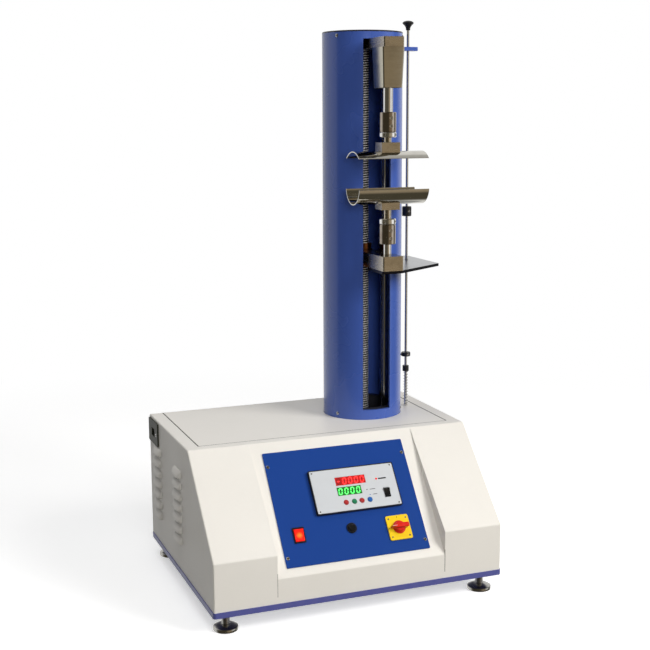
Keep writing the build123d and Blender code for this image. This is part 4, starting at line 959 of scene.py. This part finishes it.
class TESTER_OT_seams(bpy.types.Operator):
    """Draws painted shadow in the seams round the top cover and in the folded seams of the lower front wall"""

    bl_idname = "tester.seams"
    bl_label = "Seams"

    def execute(self, context):
        low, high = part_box("top_cover")
        shell_low, shell_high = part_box("cabinet_shell")
        wide, lift = 1.3 * MM, 0.06 * MM
        under, over = shell_high.z - lift, shell_high.z + lift
        strips = [strip(side - wide, side + wide, low.y, high.y, under, over) for side in (low.x, high.x)]
        strips.append(strip(low.x, high.x, low.y - wide / 2, low.y + wide / 2, under, over))
        shade = enamel("Gap shade", (0.10, 0.095, 0.085), 0.7, 400.0, 0.1, wear_and_highlight=0.0)
        make_piece("cover_seam_shade", strips, "frame", "cabinet_paint", material=shade, sharp=20)
        # Where the wings' fronts meet the fascia's, a folded seam runs down to the base, drawn as a thin strip of
        # painted shade
        base, wall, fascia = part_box("base_plate")[1].z, shell_low.y, 175 * MM
        bottom, top = base + 1 * MM, base + 47 * MM
        seams = [strip(x - width / 2, x + width / 2, wall - lift, wall + lift, bottom, top)
                 for x, width in ((-fascia, 0.7 * MM), (fascia, 1.1 * MM))]
        make_piece("front_seam_shade", seams, "frame", "cabinet_paint", material=shade, sharp=20)
        return {"FINISHED"}


class TESTER_OT_cam_handle(bpy.types.Operator):
    """Shapes the cam switch's handle: a skirt, a waist and a ridge that points to the left"""

    bl_idname = "tester.cam_handle"
    bl_label = "Cam handle"

    def execute(self, context):
        top = panel.reach("cam_knob")[1][2]
        plate_low, plate_high = panel.reach("cam_plate")
        x, y = (plate_low[:2] + plate_high[:2]) / 2
        face = plate_high[2]
        base, rise = face + 0.3 * MM, top - face - 3.3 * MM
        skirt_shape = mm((0.01, -0.2), (13.2, -0.2), (13.4, 0.6), (13.0, 2.6), (11.6, 3.6), (10.6, 4.2),
                         (10.2, 8.0), (9.4, 8.9), (0.01, 9.1))
        skirt = turned(skirt_shape, 64, panel.place([x, y, base]), panel.axes.T)
        # Outline of the ridge: a blunt end, straight flanks and a point
        t = np.linspace(-pi / 2, pi / 2, 13)
        blunt = np.column_stack([13.5 + 3.5 * np.cos(t), 4.6 * np.sin(t)])
        point = [(-9, 4.4), (-15.5, 2.4), (-19.8, 0.5), (-19.8, -0.5), (-15.5, -2.4), (-9, -4.4)]
        ridge = panel.put(slab(np.vstack([blunt, point]) * MM, 2.6 * MM, rise, 0.9 * MM), x, y, base)
        make_piece("cam_handle", [skirt, ridge], "cam_knob", "knob_red", ("cam_knob",), sharp=30)
        mark = slab(rounded_outline(9 * MM, 0.9 * MM, 0.3 * MM), 0, 0.12 * MM)
        mark = panel.put(mark, x - 13.5 * MM, y, base + rise)
        white = plastic("White mark", (0.8, 0.8, 0.78), 0.5)
        make_piece("cam_handle_mark", [mark], "cam_knob", "knob_red", material=white)
        tick, tick_faces = slab(rounded_outline(3.6 * MM, 0.8 * MM, 0.2 * MM), 0, 0.1 * MM)
        ticks = []
        for a in (pi, pi / 2):
            spin = np.array([(cos(a), sin(a), 0), (-sin(a), cos(a), 0), (0, 0, 1)])
            ticks.append(panel.put(((tick + (20.8 * MM, 0, 0)) @ spin, tick_faces), x, y, face))
        make_piece("cam_plate_ticks", ticks, "frame", "black_plastic")
        corner = 18.5 * MM
        seats = [panel.place([x + i * corner, y + j * corner, face]) for i in (-1, 1) for j in (-1, 1)]
        screws = [pan_head(seat, panel.out, radius=1.8 * MM, height=0.7 * MM, turn=0.5) for seat in seats]
        make_piece("cam_plate_screws", screws, "frame", "rod_steel")
        return {"FINISHED"}


class TESTER_OT_rod_knob(bpy.types.Operator):
    """Turns the limit rod's mushroom knob"""

    bl_idname = "tester.rod_knob"
    bl_label = "Rod knob"

    def execute(self, context):
        low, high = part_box("rod_knob")
        neck = [(0.01, 0), (4.2, 0), (4.6, 0.6), (4.7, 4.0), (5.6, 6.6), (8.0, 10.2), (11.2, 13.0)]
        # Rim and crown: a quarter ellipse from the edge to the middle
        t = np.linspace(0, pi / 2, 9)[:, None]
        crown = np.hstack([12 * np.cos(t) + 0.01, 14.4 + 5.4 * np.sin(t)])
        knob = turned(np.vstack([neck, crown]) * MM, 56, plan_middle(low, high, low.z))
        make_piece("rod_knob_turned", [knob], "limit_rod", node_slots["rod_knob"], ("rod_knob",), sharp=50)
        return {"FINISHED"}


class TESTER_OT_cell_cover(bpy.types.Operator):
    """Folds the load cell's tapered cover with rounded vertical edges"""

    bl_idname = "tester.cell_cover"
    bl_label = "Cell cover"

    def execute(self, context):
        low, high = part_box("load_cell_cover")
        wide, deep, tall = high - low
        corner, sheet, taper = 3.2 * MM, 1.5 * MM, 6 * MM
        rings = []
        # Outside from top to bottom, the cut edge, and the inside back up; the lower end is the smaller one
        for share, inset in ((0, 0), (0.5, 0), (1, 0), (1, sheet), (0.5, sheet), (0, sheet)):
            shrink = taper * share + 2 * inset
            ring = rounded_outline(wide - shrink, deep - shrink, corner - inset, 7)
            rings.append(np.column_stack([ring, np.full(len(ring), high.z - tall * share)]))
        points = np.concatenate(rings) + plan_middle(low, high)
        faces = grid_faces(len(rings), len(rings[0]), close_columns=True)[:, ::-1]
        slot = node_slots["load_cell_cover"]
        make_piece("cell_cover_folded", [(points, faces)], "frame", slot, ("load_cell_cover",), sharp=50)
        return {"FINISHED"}


class TESTER_OT_louvres(bpy.types.Operator):
    """Presses smooth hoods over the louvres of both side walls"""

    bl_idname = "tester.louvres"
    bl_label = "Louvres"

    def execute(self, context):
        wall, columns = 300 * MM, (174 * MM, 8 * MM)
        first, pitch, count = 119.2 * MM, 23 * MM, 7
        length, height, reach = 56 * MM, 14.5 * MM, 8.5 * MM
        u = np.linspace(-1, 1, 25)[:, None]
        v = np.linspace(0, 1, 9)
        # How far a point stands out: reach times a flattened hump along and a quarter sine down
        out = reach * np.clip(1 - np.abs(u) ** 4, 0, 1) ** 0.5 * np.sin(v * pi / 2) ** 0.7
        hood = np.stack([out, u * length / 2 + 0 * v, v * height + 0 * u], 2)
        # The lower edge is rolled inwards
        lip = hood[:, -1:, :] + (-1.0 * MM, 0, 0.8 * MM)
        lip[:, :, 0] = np.maximum(lip[:, :, 0], 0)
        hood = np.concatenate([hood, lip], 1)
        faces = grid_faces(*hood.shape[:2])
        hoods = []
        for side in (-1, 1):
            side_faces = faces if side < 0 else faces[:, ::-1]
            for y in columns:
                for row in range(count):
                    start = (side * wall, y, first + pitch * row)
                    points = (hood * (side, 1, -1) + start).reshape(-1, 3)
                    hoods.append((points, side_faces))
        make_piece("louvre_hoods", hoods, "frame", "cabinet_paint", sharp=50)
        return {"FINISHED"}


class TESTER_OT_spring(bpy.types.Operator):
    """Winds the limit rod's return spring"""

    bl_idname = "tester.spring"
    bl_label = "Return spring"

    def execute(self, context):
        low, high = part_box("limit_spring")
        x, y, bottom = plan_middle(low, high, low.z)
        wire = 0.7 * MM
        coil = (high.x - low.x) / 2 - wire
        turns, steps, ring = 12, 28, 8
        t = np.linspace(0, 1, turns * steps + 1)
        t = np.concatenate([[0], t, [1]])[:, None]
        thickness = np.full(t.shape, wire)
        thickness[0] = thickness[-1] = 0
        s = circle(ring)
        # A round wire along a helix: angle and height grow evenly, and both ends close in a point
        z = bottom + wire + (high.z - bottom - 2 * wire) * t + thickness * np.sin(s)
        points = around(coil + thickness * np.cos(s), 2 * pi * turns * t, z) + (x, y, 0)
        faces = grid_faces(len(t), ring, close_columns=True)[:, ::-1]
        slot = node_slots["limit_spring"]
        spring = make_piece("return_spring", [(points, faces)], None, slot, ("limit_spring",), sharp=80)
        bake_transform(spring)
        return {"FINISHED"}


class TESTER_OT_collars(bpy.types.Operator):
    """Knurls the two trip collars and gives them socket screws"""

    bl_idname = "tester.collars"
    bl_label = "Collars"

    def execute(self, context):
        rows, segments, knurls, per_metre = 14, 120, 20, 900
        radius, edge, sunk, depth = 10 * MM, 0.9 * MM, 0.1 * MM, 0.35 * MM
        screw_shape = mm((2.6, -0.6), (2.6, 0.7), (2.2, 1.0), (1.3, 1.0), (1.25, 0.2), (0.01, 0.15))
        for collar in ("upper_collar", "lower_collar"):
            low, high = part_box(collar)
            x = high.x - radius
            t = circle(segments)
            z = np.linspace(low.z + edge, high.z - edge, rows)[:, None]
            # Radius = a little under the collar's, plus the product of two crossed sines in angle and height
            climb = (z - low.z) * per_metre
            wave = np.abs(np.sin(knurls * t + climb)) * np.abs(np.sin(knurls * t - climb))
            points = around(radius - sunk + depth * wave, t, z) + (x, (low.y + high.y) / 2, 0)
            knurl = (points, grid_faces(rows, segments, close_columns=True))
            make_piece(collar + "_knurl", [knurl], collar, "black_collar", sharp=60)
            screw = turned(screw_shape, 24, (x, low.y, (low.z + high.z) / 2), turn_to((0, -1, 0)))
            make_piece(collar + "_screw", [screw], collar, "screw_steel", sharp=30)
        return {"FINISHED"}


# The studio
def lay_floor(scene, look):
    """A floor that looks white to the camera, keeps the shadow near the object and is grey to other rays."""
    span = 12.0
    corners = [(-span, -span, 0), (span, -span, 0), (span, span, 0), (-span, span, 0)]
    mesh = bpy.data.meshes.new("floor")
    mesh.from_pydata(corners, [], [(0, 1, 2, 3)])
    floor = bpy.data.objects.new("floor", mesh)
    scene.collection.objects.link(floor)
    material, tree, shader = new_material("Pale floor")
    camera_ray = tree.nodes.new("ShaderNodeLightPath").outputs["Is Camera Ray"]
    colour = mix_colour(tree, camera_ray, (0.22, 0.21, 0.18), tuple(look.floor))
    feed_all(tree, shader, Base_Color=colour, Roughness=0.9, Specular_IOR_Level=0.1)
    surface = tree.nodes.new("ShaderNodeAddShader")
    blend = tree.nodes.new("ShaderNodeMixShader")
    fade_start, fade_end = 0.9, 2.2
    near = product(tree, camera_ray, look.floor_glow)
    far = smooth_step(tree, vector_node(tree, "LENGTH", object_coordinates(tree)), fade_start, fade_end)
    for target, strength in ((surface.inputs[1], near), (blend.inputs[2], camera_ray)):
        glow = feed_all(tree, tree.nodes.new("ShaderNodeEmission"), Strength=strength)
        feed(tree, target, glow.outputs[0])
    feed(tree, surface.inputs[0], shader.outputs[0])
    feed(tree, blend.inputs[0], far)
    feed(tree, blend.inputs[1], surface.outputs[0])
    feed(tree, tree.nodes["Material Output"].inputs["Surface"], blend.outputs[0])
    mesh.materials.append(material)
    floor.visible_glossy = False


def surround(scene, look):
    """The surroundings: white to the camera, dim as a light, and for polished metal a room of its own.

    That room has a white backdrop behind, a soft box at the right, a lighter part above and a dark front
    with one warmer wall.
    """
    world = scene.world = bpy.data.worlds.new("Surroundings")
    world.use_nodes = True
    tree = world.node_tree
    path = tree.nodes.new("ShaderNodeLightPath").outputs
    direction = tree.nodes.new("ShaderNodeTexCoord").outputs["Generated"]
    split = feed_all(tree, tree.nodes.new("ShaderNodeSeparateXYZ"), Vector=direction).outputs
    behind = product(tree, smooth_step(tree, split["Y"], 0.0, 0.45), 0.88)
    overhead = product(tree, smooth_step(tree, split["Z"], 0.3, 0.8), smooth_step(tree, split["Y"], -0.5, 0.2))
    towards_box = vector_node(tree, "DOT_PRODUCT", direction, (0.83, -0.55, 0.0))
    towards_wall = vector_node(tree, "DOT_PRODUCT", direction, (0.36, -0.92, -0.15))
    bright = larger(tree, larger(tree, behind, product(tree, overhead, 0.5)),
                    smooth_step(tree, towards_box, 0.91, 0.975))
    warm = smooth_step(tree, towards_wall, 0.82, 0.97)
    dark = mix_colour(tree, warm, tuple(look.room), tuple(look.warm_wall))
    room = mix_colour(tree, bright, dark, (1, 1, 1))
    glossy = path["Is Glossy Ray"]
    seen = larger(tree, larger(tree, path["Is Camera Ray"], path["Is Transmission Ray"]), glossy)
    feed_all(tree, tree.nodes["Background"], Color=mix_colour(tree, glossy, (1, 1, 1), room),
             Strength=larger(tree, seen, look.ambient))


def hang_lamps(scene, look):
    """Three soft lamps, each with its place, its aim, its size, its power and its colour."""
    lamps = (
        ("key_lamp", (2.3, -2.6, 2.5), (0.05, 0, 0.55), (2.0, 1.6), look.key_power, (1.0, 0.985, 0.96)),
        ("top_lamp", (-0.75, 0.1, 3.2), (-0.1, 0, 0.3), (1.4, 1.4), look.fill_power, (1, 1, 1)),
        ("slot_lamp", (-0.55, -2.9, 1.25), (0.14, 0, 0.7), (0.9, 0.9), look.slot_power, (1, 1, 1)),
    )
    for name, place, aim, size, power, colour in lamps:
        light = bpy.data.lights.new(name, "AREA")
        light.shape = "RECTANGLE"
        light.size, light.size_y = size
        light.energy = power
        light.color = colour
        lamp = bpy.data.objects.new(name, light)
        lamp.location = place
        lamp.rotation_euler = (Vector(aim) - Vector(place)).to_track_quat("-Z", "Y").to_euler()
        lamp.visible_glossy = False
        scene.collection.objects.link(lamp)


def aim_camera(scene, look):
    """The photo's camera, as it was fitted to the edges of the cabinet: yaw to the right, pitch down, roll."""
    place = (-0.8642, -2.2692, 0.9503)
    yaw, pitch, roll = radians(21.21), radians(9.835), radians(-0.251)
    forward = Vector((sin(yaw) * cos(pitch), cos(yaw) * cos(pitch), -sin(pitch)))
    right = Vector((cos(yaw), -sin(yaw), 0))
    up = right.cross(forward)
    right, up = cos(roll) * right + sin(roll) * up, -sin(roll) * right + cos(roll) * up
    data = bpy.data.cameras.new("camera")
    data.sensor_width = 36
    data.lens = look.lens
    data.clip_end = 60
    camera = bpy.data.objects.new("camera", data)
    camera.matrix_world = Matrix.Translation(place) @ Matrix((right, up, -forward)).transposed().to_4x4()
    scene.collection.objects.link(camera)
    scene.camera = camera


class TESTER_OT_stage(bpy.types.Operator):
    """Sets the floor, the lamps, the surroundings and the camera"""

    bl_idname = "tester.stage"
    bl_label = "Studio"

    def execute(self, context):
        scene = context.scene
        scene.view_settings.view_transform = "Standard"
        for part in (lay_floor, surround, hang_lamps, aim_camera):
            part(scene, scene.tester_studio)
        return {"FINISHED"}


class TESTER_PT_panel(bpy.types.Panel):
    """Buttons and settings of the crush tester's dress"""

    bl_label = "Crush tester"
    bl_idname = "TESTER_PT_panel"
    bl_space_type = "VIEW_3D"
    bl_region_type = "UI"
    bl_category = "Crush tester"

    def draw(self, context):
        layout = self.layout
        for operator in OPERATORS:
            layout.operator(operator.bl_idname)
        for settings in SETTINGS:
            box = layout.box()
            group = getattr(context.scene, settings)
            for key in group.__annotations__:
                box.prop(group, key)


OPERATORS = (
    TESTER_OT_finishes,
    TESTER_OT_lead_screw,
    TESTER_OT_feet,
    TESTER_OT_screw_heads,
    TESTER_OT_grub_screws,
    TESTER_OT_displays,
    TESTER_OT_meter_marks,
    TESTER_OT_seams,
    TESTER_OT_cam_handle,
    TESTER_OT_rod_knob,
    TESTER_OT_cell_cover,
    TESTER_OT_louvres,
    TESTER_OT_spring,
    TESTER_OT_collars,
    TESTER_OT_stage,
)
SETTINGS = {
    "tester_cabinet": CabinetLook,
    "tester_metals": MetalLook,
    "tester_threads": ThreadSizes,
    "tester_displays": DisplayLook,
    "tester_studio": StudioLook,
}


def register():
    """Registers the settings, the operators and the panel."""
    for settings in SETTINGS.values():
        bpy.utils.register_class(settings)
    for name, settings in SETTINGS.items():
        setattr(bpy.types.Scene, name, PointerProperty(type=settings))
    for operator in OPERATORS:
        bpy.utils.register_class(operator)
    bpy.utils.register_class(TESTER_PT_panel)


def unregister():
    """Undoes what register does, in reverse."""
    bpy.utils.unregister_class(TESTER_PT_panel)
    for operator in reversed(OPERATORS):
        bpy.utils.unregister_class(operator)
    for name, settings in SETTINGS.items():
        delattr(bpy.types.Scene, name)
        bpy.utils.unregister_class(settings)


def main():
    """Registers the add-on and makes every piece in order."""
    register()
    bpy.ops.tester.finishes()
    bpy.ops.tester.lead_screw()
    bpy.ops.tester.feet()
    bpy.ops.tester.screw_heads()
    bpy.ops.tester.grub_screws()
    bpy.ops.tester.displays()
    bpy.ops.tester.meter_marks()
    bpy.ops.tester.seams()
    bpy.ops.tester.cam_handle()
    bpy.ops.tester.rod_knob()
    bpy.ops.tester.cell_cover()
    bpy.ops.tester.louvres()
    bpy.ops.tester.spring()
    bpy.ops.tester.collars()
    bpy.ops.tester.stage()


if __name__ == "__main__":
    main()
